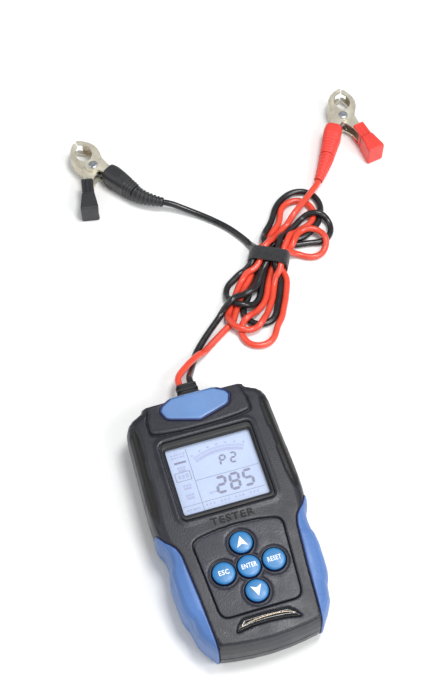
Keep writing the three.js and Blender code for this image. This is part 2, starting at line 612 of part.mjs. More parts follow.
function addClampMetal(side, place) {
  const fixed = jaw(jawOutline(tangs.cable), jawWeb(tangs.cable), 2.2, 15.8, side);
  const moving = jaw(jawOutline(tangs.thumb), jawWeb(tangs.thumb), 3.7, 14.3, -side);
  place('fixed_jaw', fixed, COLOURS.jaw);
  place('moving_jaw', moving, COLOURS.jaw);
  place('pivot_pin', turned(PIN_PROFILE), COLOURS.steel);
  place('spring', springCoil(), COLOURS.steel);
}

function addClamp(name, clamp) {
  const group = new THREE.Group();
  group.position.set(clamp.x, clamp.y, 0);
  group.rotation.z = radians(clamp.axis);
  model.add(group);
  const metal = { roughness: 0.35, metalness: 0.9 };
  addClampGrips(clamp, (part, shape, finish) => {
    addPart(`${name}_clamp_${part}`, shape, COLOURS[name], finish, group);
  });
  addClampMetal(clamp.side, (part, shape, colour) => {
    addPart(`${name}_clamp_${part}`, shape, colour, metal, group);
  });
}

addShells();
addDisplay();
addKeypad();
addElectronics();
addScrews();
addStrainRelief();
addWireClamp();
addInnerWires();
addLeads();
addStrap();
Object.entries(CLAMPS).forEach(([name, clamp]) => addClamp(name, clamp));

export default model;
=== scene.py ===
"""A handheld battery tester with its clamp leads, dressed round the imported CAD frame.

Blender objects are in metres with +Z up. Shapes are worked out in millimetres.
"""

import math

import bmesh
import bpy
import numpy as np
import openvdb
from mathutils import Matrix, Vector
from numpy.linalg import norm


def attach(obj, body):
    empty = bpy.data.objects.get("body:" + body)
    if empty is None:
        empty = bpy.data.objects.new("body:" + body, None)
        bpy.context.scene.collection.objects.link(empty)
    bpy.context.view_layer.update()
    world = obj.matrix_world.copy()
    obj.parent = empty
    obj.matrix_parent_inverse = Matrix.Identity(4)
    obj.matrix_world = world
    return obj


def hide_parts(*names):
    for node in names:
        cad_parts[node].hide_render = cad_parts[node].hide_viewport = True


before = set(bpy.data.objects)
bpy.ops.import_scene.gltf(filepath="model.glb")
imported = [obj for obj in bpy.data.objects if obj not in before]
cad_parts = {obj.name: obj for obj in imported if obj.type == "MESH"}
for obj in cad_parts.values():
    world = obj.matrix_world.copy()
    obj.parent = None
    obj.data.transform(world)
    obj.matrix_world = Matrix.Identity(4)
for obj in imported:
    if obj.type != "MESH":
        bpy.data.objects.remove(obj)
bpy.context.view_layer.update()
MM = 0.001


def add_object(name, data):
    made = bpy.data.objects.new(name, data)
    bpy.context.scene.collection.objects.link(made)
    return made


def aim(thing, place, target):
    """Puts a camera or a light in its place and turns it to face a target."""
    thing.location = place
    thing.rotation_euler = (Vector(target) - Vector(place)).to_track_quat("-Z", "Y").to_euler()


def fade(value, low, high):
    """A share that rises evenly from 0 at low to 1 at high."""
    return np.clip((value - low) / (high - low), 0, 1)


# ---------------------------------------------------------------- camera
CAMERA_AT = (-0.1064, -0.3155, 0.8369)
CAMERA_TARGET = (0.032, 0.1411, 0.0)
LENS_MM, SENSOR_MM = 66.4, 36


def add_camera():
    data = bpy.data.cameras.new("camera")
    data.lens, data.sensor_width = LENS_MM, SENSOR_MM
    camera = add_object("camera", data)
    aim(camera, CAMERA_AT, CAMERA_TARGET)
    bpy.context.scene.camera = camera
    bpy.context.scene.view_settings.view_transform = "Standard"


add_camera()

# ---------------------------------------------------------------- leads
# U runs along the hank and V across it, from CENTRE, where the strap is. The leads pass through
# the strap in five LANES and in two layers, at LOW and HIGH, no further across than IN_STRAP.
# PASS is half as long as the straight stretch there.
LEAD_D, LEAD_STEP, BEND_R = 5.0, 4.0, 13.5
HANK_ANGLE = math.radians(62)
U = np.array([math.cos(HANK_ANGLE), math.sin(HANK_ANGLE), 0])
V = np.array([math.sin(HANK_ANGLE), -math.cos(HANK_ANGLE), 0])
CENTRE = np.array([93.6, 202.7, 0])
LANES = [-11.2, -5.6, 0.0, 5.6, 11.2]
LOW, HIGH, IN_STRAP = 4.3, 9.9, 12.0
PASS = 7
# In each round of settling the points sink, straighten, and go back towards the plan by a hold.
# The first few at each end don't move, and those up to END_POINTS may stay off the floor.
SINK, STRAIGHTEN = 0.3, 0.3
LOOSE_HOLD, STRAP_HOLD = 0.02, 0.5
HELD_POINTS, END_POINTS = 3, 11
PUSHES, GAP = 7, 0.08


def hank(points):
    """Places from their distances along and across the hank, and their heights."""
    return [tuple(CENTRE + u * U + v * V + np.array([0, 0, z])) for u, v, z in points]


def through(lane, z, up):
    """A straight pass through the strap in one of its five lanes."""
    ends = [(u, LANES[lane], z) for u in (-PASS, 0, PASS)]
    return ends if up else ends[::-1]


RED_ENTRY = [
    (-4.2, 108.3, 18), (-4.3, 113, 17.7), (-3.2, 118.4, 16.6), (0, 124.2, 14.8), (5.2, 129.8, 12.4),
    (11.4, 134.4, 10.2), (18, 138.4, 8.2), (24.6, 142, 6), (31.4, 145.8, 4), (38.4, 150.4, 2.7)]
BLACK_ENTRY = [
    (4.2, 108.3, 18), (4.2, 112, 17.4), (4.9, 117, 14.2), (7, 123.2, 9.6), (9.8, 129.4, 5.6),
    (13, 136, 3.2), (17, 143, 2.6), (23.4, 150.6, 2.55), (32.4, 158, 3.4), (42, 163.6, 6)]
RED_HANK = (
    [(-57, -19, 2.6), (-44, -15, 2.6), (-26, -12, 3)] + through(0, LOW, True)
    + [(14, -6, 4), (26, 1, 2.6), (38, 2.5, 2.6), (48, 3.5, 2.6), (58, 8, 2.6), (65, 16, 2.6),
       (63.5, 23.5, 2.6), (56, 28, 2.6), (46, 27, 7), (34, 22, 7), (20, 14.5, 6)]
    + through(4, LOW, False)
    + [(-20, 13, 3), (-36, 13.6, 2.6), (-54, 14, 2.6), (-68, 13, 2.6), (-77.5, 5, 2.6),
       (-75, -6, 2.6), (-64, -8.5, 3), (-52, -1, 7), (-38, 7, 5)] + through(3, LOW, True)
    + [(14, 14, 4), (26, 21, 6), (35, 28.5, 8), (40, 37, 8), (34, 42, 7), (24, 36, 6), (14, 21, 8)]
    + through(4, HIGH, False)
    + [(-18, 10, 9), (-34, 7, 10), (-50, 5, 9), (-64, 1, 8), (-71, -8, 7), (-66, -17.5, 4),
       (-54, -18.5, 3), (-40, -13.5, 7), (-22, -7.5, 9)] + through(1, HIGH, True)
    + [(12, -1, 14), (24, 6.5, 14), (38, 11.5, 10), (52, 16.5, 9), (64, 20, 8.6)])
BLACK_HANK = (
    [(-47, -14, 12), (-36, -6, 14), (-20, -1, 12)] + through(2, HIGH, True)
    + [(12, -3.4, 9), (26, -4, 7), (40, -3.5, 3), (54, -2.5, 2.6), (65, 1.5, 2.6), (73, 9, 2.6),
       (74.5, 18, 2.6), (70, 28, 2.6), (60, 34, 2.6), (48, 33, 2.6), (34, 25, 2.6), (20, 9, 2.6)]
    + through(1, LOW, False)
    + [(-20, -6.5, 3), (-36, -10, 2.6), (-50, -11, 2.6), (-60, -4, 2.6), (-58, 6, 2.6),
       (-46, 10, 2.6), (-30, 8.5, 7)] + through(3, HIGH, True)
    + [(14, 9.5, 10), (26, 14, 9), (38, 20, 9), (47, 28, 8), (51, 37, 7), (47, 46, 2.6),
       (37, 46, 2.6), (28, 35, 2.6), (18, 17, 2.6)] + through(2, LOW, False)
    + [(-20, 0.5, 8), (-32, -1, 8), (-44, -6, 9), (-50, -14, 8), (-44, -23, 6), (-32, -20, 7),
       (-18, -14, 9)] + through(0, HIGH, True)
    + [(13, -13.6, 8.5), (18.6, -19.4, 6.4), (24, -28, 4)])
RED_ROUTE = RED_ENTRY + hank(RED_HANK) + [(151.6, 256.9, 9), (154.1, 260.2, 9)]
BLACK_ROUTE = BLACK_ENTRY + hank(BLACK_HANK) + [
    (77.4, 240, 2.7), (70.4, 248.6, 2.6), (61.6, 256.8, 3), (52, 263.8, 4.6), (43, 269.4, 6.8),
    (36, 273.4, 8.5), (30.7, 276.1, 9)]


def length_along(line):
    """How far along a line each of its points is."""
    return np.concatenate([[0], np.cumsum(norm(np.diff(line, axis=0), axis=1))])


def catmull(points, step):
    """A Catmull-Rom line through the points, at about that spacing."""
    p = np.array(points, float)
    p = np.vstack([2 * p[0] - p[1], p, 2 * p[-1] - p[-2]])
    t = np.linspace(0, 1, 16, endpoint=False)[:, None]
    fine = np.vstack([
        0.5 * (2 * b + (c - a) * t + (2 * a - 5 * b + 4 * c - d) * t ** 2
               + (3 * b - a - 3 * c + d) * t ** 3)
        for a, b, c, d in zip(p, p[1:], p[2:], p[3:])] + [p[-2:-1]])
    along = length_along(fine)
    at = np.linspace(0, along[-1], round(along[-1] / step) + 1)
    return np.stack([np.interp(at, along, fine[:, k]) for k in range(3)], axis=1)


def from_ends(line):
    """How many points away from the nearer end of its line each point is."""
    count = np.arange(len(line))
    return np.minimum(count, count[::-1])


def evened(line, times=14):
    """A lead's line without its small wiggles. Its ends and strap passes are left alone."""
    from_strap = abs((line - CENTRE) @ U)
    away = fade(from_ends(line), 5, 11) * fade(from_strap, 6, 16)
    share = 0.5 * away[1:-1, None]
    line = line.copy()
    for _ in range(times):
        line[1:-1] += share * (0.5 * (line[:-2] + line[2:]) - line[1:-1])
    return line


def settle(chains, step, rounds):
    """Lays the leads down: each keeps its length, bends gently, and rests on what is under it."""
    plan = np.vstack(chains)
    p = plan.copy()
    chain = np.concatenate([np.full(len(c), k) for k, c in enumerate(chains)])
    from_end = np.concatenate([from_ends(c) for c in chains])
    flat = plan - CENTRE
    in_strap = (abs(flat @ U) < PASS + 1) & (abs(flat @ V) < IN_STRAP + 4)
    fixed = from_end < HELD_POINTS
    floor = np.where(from_end < END_POINTS, plan[:, 2] - 0.1, LEAD_D / 2 + 0.05)
    hold = np.where(in_strap, STRAP_HOLD, LOOSE_HOLD)
    hold[fixed] = 1.0
    raised = in_strap | fixed
    links = []
    for span in (1, 2, 3, 4, 5, 6):
        first = np.flatnonzero(chain[:-span] == chain[span:])
        least = 2 * BEND_R * math.sin(min(span * step / (2 * BEND_R), 1.4))
        links.append((first, first + span, step if span == 1 else least, span == 1))
    first, second = np.triu_indices(len(p), 1)
    apart = (chain[first] != chain[second]) | (second - first > 4)
    first, second = first[apart], second[apart]
    for k in range(rounds):
        if k % 10 == 0:
            close = norm(p[first] - p[second], axis=1) < 2.2 * LEAD_D
            pairs = first[close], second[close]
        p[:, 2] -= SINK
        p[:, :2] += hold[:, None] * (plan[:, :2] - p[:, :2])
        middle = 0.5 * (p[:-2] + p[2:]) - p[1:-1]
        p[1:-1] += STRAIGHTEN * middle * ~fixed[1:-1, None]
        p[raised, 2] += hold[raised] * (plan - p)[raised, 2]
        for _ in range(PUSHES):
            push(p, *pairs, LEAD_D + GAP, False)
            for link in links:
                push(p, *link)
            p[:, 2] = np.maximum(p[:, 2], floor)
            across = (p[in_strap] - CENTRE) @ V
            p[in_strap] += 0.5 * (np.clip(across, -IN_STRAP, IN_STRAP) - across)[:, None] * V
            p[in_strap, 2] = np.minimum(p[in_strap, 2], HIGH + 0.2)
            p[fixed] = plan[fixed]
    return [p[chain == k] for k in range(len(chains))]


def push(p, one, other, length, exact):
    """Moves pairs of points apart to the length, or to and fro where it is exact."""
    gap = p[one] - p[other]
    far = np.maximum(norm(gap, axis=1), 1e-6)
    wrong = length - far if exact else np.maximum(length - far, 0)
    move = gap * (0.5 * wrong / far)[:, None]
    touched = (np.abs(wrong) > 1e-9).astype(float)
    count = np.bincount(one, touched, len(p)) + np.bincount(other, touched, len(p))
    share = 1 / np.maximum(count, 1) ** 0.5
    for axis, by in enumerate(move.T):
        p[:, axis] += (np.bincount(one, by, len(p)) - np.bincount(other, by, len(p))) * share


def lead_curve(name, line):
    data = bpy.data.curves.new(name, "CURVE")
    data.dimensions = "3D"
    spline = data.splines.new("NURBS")
    spline.points.add(len(line) - 1)
    for point, place in zip(spline.points, line):
        point.co = (*(place * MM), 1)
    spline.use_endpoint_u = True
    spline.order_u = 4
    spline.resolution_u = 3
    data.bevel_depth = LEAD_D / 2 * MM
    data.bevel_resolution = 5
    data.use_fill_caps = True
    return add_object(name, data)


# ---------------------------------------------------------------- materials
class Graph:
    """A new material, and the few kinds of node that the finishes are made of."""

    def __init__(self, name):
        self.material = bpy.data.materials.new(name)
        self.material.use_nodes = True
        self.nodes, self.links = self.material.node_tree.nodes, self.material.node_tree.links
        self.shader = self.nodes["Principled BSDF"]
        self.where = self.nodes.new("ShaderNodeTexCoord").outputs["Object"]

    def fill(self, node, **inputs):
        """Sets a node's inputs to values, or links them to other nodes' outputs."""
        for name, value in inputs.items():
            socket = node.inputs[name.replace("_", " ")]
            if isinstance(value, bpy.types.NodeSocket):
                self.links.new(value, socket)
            else:
                socket.default_value = value
        return node.outputs

    def ramp(self, source, low, high, start=0.3, end=0.7):
        node = self.nodes.new("ShaderNodeValToRGB")
        first, last = node.color_ramp.elements
        first.position, first.color = start, (*low, 1)
        last.position, last.color = end, (*high, 1)
        return self.fill(node, Fac=source)["Color"]

    def noise(self, scale, detail=3.0, stretch=None):
        where = self.where
        if stretch:
            mapping = self.nodes.new("ShaderNodeMapping")
            where = self.fill(mapping, Scale=stretch, Vector=where)["Vector"]
        node = self.nodes.new("ShaderNodeTexNoise")
        return self.fill(node, Scale=scale, Detail=detail, Vector=where)["Fac"]

    def mixed(self, factor, a, b, kind="MIX"):
        node = self.nodes.new("ShaderNodeMix")
        node.data_type, node.blend_type = "RGBA", kind
        return self.fill(node, Factor=factor, A=a, B=b)["Result"]

    def bump(self, height, strength, depth, **under):
        node = self.nodes.new("ShaderNodeBump")
        outputs = self.fill(node, Strength=strength, Distance=depth * MM, Height=height, **under)
        return outputs["Normal"]


def linear(rgb):
    """An sRGB colour written as six hexadecimal digits, as linear light."""
    values = [int(rgb[k:k + 2], 16) / 255 for k in (0, 2, 4)]
    return tuple(v / 12.92 if v <= 0.04045 else ((v + 0.055) / 1.055) ** 2.4 for v in values)


def grey(value):
    return (value,) * 3


def surface(name, rgb, roughness, tone=0.12, patch=40, grain=2200, bump=0.12, depth=0.1, wear=0.0,
            scuff=0.0, speckle=0.22, painted_shade_rgb=None, **sockets):
    """A finish with patchy tone, uneven gloss and a fine grain.

    It may have worn edges, scuffs, and painted shade: a darker colour mixed in by the mesh's
    painted shade mask.
    """
    graph = Graph(name)
    base = np.array(linear(rgb))
    speck = graph.noise(grain, 2.0)
    colour = graph.ramp(graph.noise(patch), tuple(base * (1 - tone)),
                        tuple(np.minimum(base * (1 + tone) + tone * 0.01, 1)))
    colour = graph.mixed(speckle, colour, graph.ramp(speck, grey(0.3), grey(0.7)), "OVERLAY")
    # Painted shade: the colour darkens where the mesh's painted shade mask is set.
    if painted_shade_rgb:
        band = graph.nodes.new("ShaderNodeAttribute")
        band.attribute_name = "painted_shoulder_shade"
        colour = graph.mixed(band.outputs["Fac"], colour, (*linear(painted_shade_rgb), 1))
    if wear:
        edge = graph.nodes.new("ShaderNodeNewGeometry").outputs["Pointiness"]
        worn = graph.ramp(edge, grey(0), grey(wear), 0.51, 0.58)
        colour = graph.mixed(worn, colour, (*np.minimum(base * 1.9 + 0.03, 1), 1))
    spread = 0.07 + 0.25 * scuff
    low, high = max(roughness - spread, 0.04), min(roughness + spread, 1.0)
    gloss = graph.ramp(graph.noise(patch * 2.5, 4.0), grey(low), grey(high))
    normal = graph.bump(speck, bump, depth)
    if scuff:
        scratches = graph.ramp(graph.noise(420, 1.0, (1, 9, 1)), grey(0), grey(1), 0.62, 0.7)
        normal = graph.bump(scratches, scuff, 0.05, Normal=normal)
    graph.fill(graph.shader, Base_Color=colour, Roughness=gloss, Normal=normal, **sockets)
    return graph.material


MOULDED = dict(grain=1000, bump=0.8, depth=0.16, speckle=0.5, Specular_IOR_Level=0.4)
CABLE = dict(patch=55, grain=900, bump=0.1, Coat_Weight=0.25)
FINISH = {
    # The shell's second colour is painted shade, which darkens its shoulders where they turn from
    # the lamps.
    "shell": surface("shell_abs", "21222a", 0.36, tone=0.16, wear=0.15, painted_shade_rgb="100f0f", **MOULDED),
    "plate": surface("plate_abs", "282933", 0.38, tone=0.14, wear=0.25, **MOULDED),
    "frame": surface("frame_black", "141518", 0.5, grain=1800, wear=0.1),
    "grip": surface("grip_tpe", "4a6fa9", 0.42, tone=0.1, patch=28, grain=1300, bump=0.22,
                    wear=0.25),
    # Navy strips along the grips' and the cap's edges: painted shade for the gaps there.
    "painted_edge_shade": surface("painted_edge_shade_navy", "141c4e", 0.5, grain=1500, bump=0.15),
    "cap": surface("cap_blue", "5c7fb1", 0.4, tone=0.07, grain=1700, bump=0.16, wear=0.2,
                   scuff=0.1),
    "key": surface("key_blue", "1d6fa8", 0.36, tone=0.08, patch=90, grain=1900, bump=0.1, wear=0.1),
    # Key sides: a darker navy copy of the key blue, painted shade.
    "key_side_painted_shade": surface("key_side_painted_shade_navy", "0d2c5c", 0.45, grain=1700, bump=0.1),
    "print": surface("print_white", "f2f4f6", 0.5, tone=0.03, grain=2500, bump=0.08),
    "letter": surface("letter_dark", "131316", 0.7, grain=2000, bump=0.08),
    "badge": surface("badge_gloss", "0d0d0f", 0.12, grain=900, bump=0.03, scuff=0.15,
                     Coat_Weight=0.6),
    # A painted highlight for the badge's glossy edge.
    "badge_painted_highlight": surface("badge_painted_highlight", "c9b79c", 0.3, grain=2000, bump=0.1, Metallic=0.7),
    "rubber": surface("rubber_black", "1c1c1e", 0.62, tone=0.15, grain=1400, bump=0.3, wear=0.3),
    "board": surface("board_green", "1f5a36", 0.45, grain=900, bump=0.2),
    "component": surface("component_black", "232325", 0.5, grain=1500, bump=0.2),
    "ceramic": surface("ceramic_cream", "d8d2c0", 0.7, grain=1200, bump=0.3),
    "light_guide": surface("light_guide", "e6ecf6", 0.35, grain=900, bump=0.1),
    "steel": surface("steel_zinc", "b9bcc0", 0.32, grain=900, bump=0.15, scuff=0.3, Metallic=1.0),
    "jaw": surface("jaw_plated", "cfc5b0", 0.36, tone=0.16, patch=60, grain=700, bump=0.25,
                   wear=0.4, scuff=0.4, Metallic=0.7),
    "red_plastic": surface("clamp_red", "e04238", 0.38, tone=0.08, patch=60, grain=1500, bump=0.18,
                           wear=0.25, scuff=0.1),
    "black_plastic": surface("clamp_black", "2b2b2e", 0.42, tone=0.14, patch=60, grain=1400,
                             bump=0.22, wear=0.35, scuff=0.2),
    "red_cable": surface("lead_red", "dd4630", 0.3, tone=0.09, scuff=0.1, **CABLE),
    "black_cable": surface("lead_black", "141417", 0.3, tone=0.2, scuff=0.15, **CABLE),
    "strap": surface("strap_loop", "15151a", 0.92, tone=0.4, patch=420, grain=2100, bump=1.0,
                     depth=0.5, Sheen_Weight=0.4),
    "lcd": surface("lcd_glass", "a6b4d0", 0.2, tone=0.05, patch=26, grain=1600, bump=0.02,
                   Emission_Color=(*linear("cfdcf8"), 1), Emission_Strength=0.115),
    "segment": surface("lcd_segment", "5d5a7c", 0.35, tone=0.08, grain=1500, bump=0.05),
    "ghost": surface("lcd_ghost", "9a9fc4", 0.35, tone=0.06, grain=1500, bump=0.05),
    "lens": surface("lens_clear", "dfe8f5", 0.06, tone=0.02, patch=30, grain=600, bump=0.02,
                    scuff=0.1, Alpha=0.1),
}


# ---------------------------------------------------------------- pieces
def finish_piece(piece, slot, nodes=(), look=None, body="tester"):
    """Gives a piece its body and its finish, the look's or else the slot's, and hides the CAD nodes
    that it stands for.
    """
    if look or not piece.data.materials:
        piece.data.materials.clear()
        piece.data.materials.append(FINISH[look or slot])
    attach(piece, body)
    if nodes:
        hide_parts(*nodes)
    return piece


def mesh_piece(name, points, faces, smooth=True, weld=False):
    """A mesh from points in millimetres and faces."""
    mesh = bpy.data.meshes.new(name)
    mesh.from_pydata([tuple(q) for q in np.asarray(points) * MM], [], [tuple(f) for f in faces])
    if weld:
        work = bmesh.new()
        work.from_mesh(mesh)
        bmesh.ops.remove_doubles(work, verts=work.verts, dist=1e-6)
        bmesh.ops.recalc_face_normals(work, faces=work.faces)
        work.to_mesh(mesh)
        work.free()
    if smooth:
        mesh.shade_smooth()
    else:
        mesh.shade_flat()
    return add_object(name, mesh)


def filleted(points, radius):
    """Each corner of an outline rounded off, starting at most a radius away from it."""
    p = np.array(points, float)
    made = []
    for before, here, after in zip(np.roll(p, 1, axis=0), p, np.roll(p, -1, axis=0)):
        start, end = [here + side * min(radius / norm(side), 0.45)
                      for side in (before - here, after - here)]
        made += [(1 - t) ** 2 * start + 2 * t * (1 - t) * here + t * t * end
                 for t in (0, 0.25, 0.5, 0.75, 1)]
    return np.array(made)


def mirrored(half):
    """A whole outline from its right half."""
    return list(half) + [(-x, y) for x, y in reversed(half) if x > 0]


def outline_distance(points, x, y):
    """Distance to a closed outline, negative inside."""
    best = np.full(np.broadcast(x, y).shape, 1e9, np.float32)
    inside = np.zeros(best.shape, bool)
    points = np.asarray(points, np.float32)
    for (x0, y0), (x1, y1) in zip(points, np.roll(points, -1, axis=0)):
        ex, ey = x1 - x0, y1 - y0
        length = ex * ex + ey * ey
        if length < 1e-10:
            continue
        t = np.clip(((x - x0) * ex + (y - y0) * ey) / length, 0, 1)
        best = np.minimum(best, (x - x0 - ex * t) ** 2 + (y - y0 - ey * t) ** 2)
        if y0 != y1:
            inside ^= ((y0 > y) != (y1 > y)) & (x < ex * (y - y0) / ey + x0)
    return np.where(inside, -np.sqrt(best), np.sqrt(best)).astype(np.float32)


def both(a, b, k=0.0):
    """What two shapes share, with the edge between them rounded over about k."""
    if not k:
        return np.maximum(a, b)
    h = np.clip(0.5 + 0.5 * (a - b) / k, 0, 1)
    return b + (a - b) * h + k * h * (1 - h)


def either(a, b, k=0.0):
    return -both(-a, -b, k)


def cut(a, b, k=0.0):
    return both(a, -b, k)


def rect(x, y, cx, cy, hx, hy, r):
    """Distance to a rectangle of those half sizes, with corners of radius r."""
    qx, qy = abs(x - cx) - hx + r, abs(y - cy) - hy + r
    return np.hypot(np.maximum(qx, 0), np.maximum(qy, 0)) + np.minimum(np.maximum(qx, qy), 0) - r


def capsule(x, y, a, b, r):
    """Distance to a bar with round ends, from a to b."""
    ex, ey = b[0] - a[0], b[1] - a[1]
    t = np.clip(((x - a[0]) * ex + (y - a[1]) * ey) / (ex * ex + ey * ey), 0, 1)
    return np.hypot(x - a[0] - ex * t, y - a[1] - ey * t) - r


def between(shape, axis, low, high, k=0.0):
    """The part of a shape between two flat planes."""
    return both(shape, np.maximum(low - axis, axis - high), k)


class Field:
    """A block of voxels, in millimetres, that a moulded shape is worked out on.

    A shape is its distance from each voxel, negative inside it.
    """

    def __init__(self, low, high, voxel):
        self.low, self.voxel = np.array(low, float), voxel
        self.x, self.y, self.z = np.ix_(*[
            np.arange(a, b + voxel, voxel, dtype=np.float32) for a, b in zip(low, high)])

    def plan(self, points, flip_x=1, flip_y=1):
        """Distance to an upright wall along an outline, which may be mirrored."""
        x, y = flip_x * self.x[:, :, 0], flip_y * self.y[:, :, 0]
        return outline_distance(points, x, y)[:, :, None]

    def reach(self, x, y):
        """Distance from an upright axis."""
        return np.hypot(self.x - x, self.y - y)

    def piece(self, name, shape, thin=0.0, relax=2, place=None):
        """The shape as a mesh, smoothed a little, and moved by place."""
        values = np.broadcast_to(shape, (self.x.size, self.y.size, self.z.size)) / self.voxel
        grid = openvdb.FloatGrid(3.0)
        grid.copyFromArray(np.ascontiguousarray(np.clip(values, -3, 3).astype(np.float32)))
        points, triangles, quads = grid.convertToPolygons(isovalue=0.0, adaptivity=thin)
        points = points * self.voxel + self.low
        triangles, quads = triangles.reshape(-1, 3).astype(int), quads.reshape(-1, 4).astype(int)
        for _ in range(relax):
            points = relaxed(points, triangles, quads)
        if place:
            points = place(points)
        turn = -1 if volume(points, triangles, quads) < 0 else 1
        return mesh_piece(name, points, [*triangles[:, ::turn], *quads[:, ::turn]])


def relaxed(points, triangles, quads):
    """Each point moved halfway to the mean of its neighbours."""
    one, other = np.vstack(
        [faces[:, [k, (k + 1) % faces.shape[1]]] for faces in (triangles, quads)
         for k in range(faces.shape[1])]).T
    n = len(points)
    count = np.bincount(one, minlength=n) + np.bincount(other, minlength=n)
    total = np.stack([np.bincount(one, q[other], n) + np.bincount(other, q[one], n)
                      for q in points.T], axis=1)
    return 0.5 * (points + total / np.maximum(count, 1)[:, None])


def volume(points, triangles, quads):
    """Six times the volume inside the faces, negative if they face inwards."""
    a, b, c = points[np.vstack([triangles, quads[:, :3], quads[:, [0, 2, 3]]]).T]
    return np.einsum("ij,ij->i", a, np.cross(b, c)).sum()


def ring_faces(rows, around, caps=True):
    """Faces of a body whose points go round in rings, with a flat cap at each end."""
    faces = []
    for i in range(rows - 1):
        for k in range(around):
            a, b = i * around + k, i * around + (k + 1) % around
            faces.append((a, b, b + around, a + around))
    if caps:
        faces += [range(around)[::-1], range((rows - 1) * around, rows * around)]
    return faces


def lathe(profile, segments, centre):
    """Points and faces of a turned body, from its radii and heights."""
    turns = [2 * math.pi * k / segments for k in range(segments)]
    points = [(centre[0] + r * math.cos(a), centre[1] + r * math.sin(a), z)
              for r, z in profile for a in turns]
    return points, ring_faces(len(profile), segments)


def tube_piece(name, route, radius, sides):
    """A closed tube along a route, with one radius or a radius for each of its points."""
    route = np.asarray(route, float)
    tangent = np.gradient(route, axis=0)
    tangent /= norm(tangent, axis=1)[:, None]
    side = np.cross(tangent, (0, 0, 1.0))
    side /= np.maximum(norm(side, axis=1), 1e-9)[:, None]
    up = np.cross(side, tangent)
    turns = [2 * math.pi * k / sides for k in range(sides)]
    points = [q + r * math.cos(a) * s + r * math.sin(a) * u
              for q, r, s, u in zip(route, np.broadcast_to(radius, len(route)), side, up)
              for a in turns]
    return mesh_piece(name, points, ring_faces(len(route), sides), weld=True)


# ---------------------------------------------------------------- housing
# Each level of a housing or grip gives a height and how far its sides, top and foot are drawn in.
FACE_Z, WALL, PARTING_Z, CORE_LOW, CORE_HIGH = 36.0, 2.6, 17.0, 5, 31
HOUSING = mirrored([
    (0, 93), (18, 93), (34, 92.8), (37.6, 91.6), (39.8, 88.8), (43, 86.9), (46.4, 85.2),
    (49.6, 82.4), (51.4, 79), (52.1, 74), (52.6, 54), (53.3, 34), (53.8, 14), (53.5, 4), (52.4, -8),
    (50.8, -26), (50.2, -46), (47.6, -64), (43.6, -78), (38, -87), (34.2, -89.4), (24, -91.2),
    (12, -92.5), (0, -93)])
HOUSING_LEVELS = [
    (0, 6, 4.2, 4.4), (1.1, 4, 2.6, 3), (4, 1.7, 1, 1.4), (10, 0.4, 0.3, 0.3), (17, 0, 0, 0),
    (24, 0.1, 0, 0.7), (30, 1, 0.3, 1.9), (33.2, 2.4, 0.9, 2.7), (35, 4.4, 1.9, 3.1),
    (36, 7.2, 3.4, 3.5)]
GRIP_SIDE = mirrored([
    (0, 10), (50, 10), (53.4, 4), (54, 0), (53.4, -5), (52, -9), (49.8, -13.4), (49.2, -19),
    (49.6, -25), (51, -29), (51.8, -34), (51.4, -46), (50.4, -56), (49.4, -60), (47.4, -64),
    (46.6, -69), (45.4, -75), (42.4, -80.6), (39.8, -84), (36.4, -89), (33.4, -90.6), (0, -91)])
GRIP_LEVELS = [
    (1, 4.4, 0, 3.4), (3, 1.8, 0, 1.6), (7, 0.3, 0, 0.4), (12, 0, 0, 0), (22, 0, 0, 0.4),
    (28, 0.7, 0, 1.2), (32.5, 2.3, 0, 2), (35.4, 5, 0, 2.8), (36.6, 8.6, 0, 3.6)]
GRIP_EDGE = [
    (64, 0), (52.6, 0), (51.4, -1), (49.8, -4.4), (47.6, -8), (44.6, -11.2), (42, -14.6),
    (40.4, -18.4), (39.6, -22), (36.7, -52), (34.2, -87.6), (33.9, -98), (64, -98)]
GRIP_DENTS = [
    ((53.6, -41, 31.5), (4.0, 16, 6.5), 0.03), ((49.8, -73, 30.5), (4.0, 9, 6), 0.3),
    ((53.6, -18, 30), (3.6, 8, 7), -0.12)]
CORE = mirrored([
    (0, 12), (49, 12), (49, 0), (46.4, -10), (45, -18), (46, -32), (45.6, -48), (43.6, -60),
    (41, -70), (36.4, -81), (31, -86.6), (0, -88)])
BEZEL = filleted(mirrored([
    (0, 66), (14, 66.2), (28, 67.4), (34.6, 68.8), (36, 70.4), (35.6, 80), (33.8, 84), (33.4, 88.6),
    (31, 90.6), (0, 91)]), 1.6)
CAP = filleted(mirrored([
    (0, 70.6), (20, 76.5), (22.6, 78), (24.9, 84), (23, 87.4), (15.6, 91.5), (0, 91.8)]), 0.8)
KEY_PLATE = filleted(mirrored([
    (0, -10.6), (14, -11.4), (26, -13.3), (29.4, -15), (30.8, -18.4), (27.4, -65.2), (25.8, -68.4),
    (22.6, -69.8), (0, -69.8)]), 2.6)
BADGE = filleted([
    (-20.4, -81.0), (-17.9, -76.4), (-14.8, -73.4), (0, -73.2), (15.7, -74.2), (19.4, -77.4),
    (22.6, -82.0), (12, -80.0), (0, -79.2), (-10, -79.4)], 0.7)
CASE_SCREWS = [(-40, 68), (40, 68), (-28, -80), (28, -80)]
KEY_Y, PITCH = -41.0, 17.2
KEY_PLACES = {
    "key_enter": (0, KEY_Y), "key_up": (0, KEY_Y + PITCH), "key_down": (0, KEY_Y - PITCH),
    "key_escape": (-PITCH, KEY_Y), "key_reset": (PITCH, KEY_Y)}
BAND_JOG = [(6, 5.5), (36, 5.5), (38.5, 4.6), (51, 4.6), (53.5, 5.4), (76, 5.2)]
WINDOW = dict(cx=0, cy=31.45, hx=32.9, hy=29.75, r=4)
CABLE_GATE = dict(cx=0, cy=92, hx=8.9, hy=8, r=0.5)


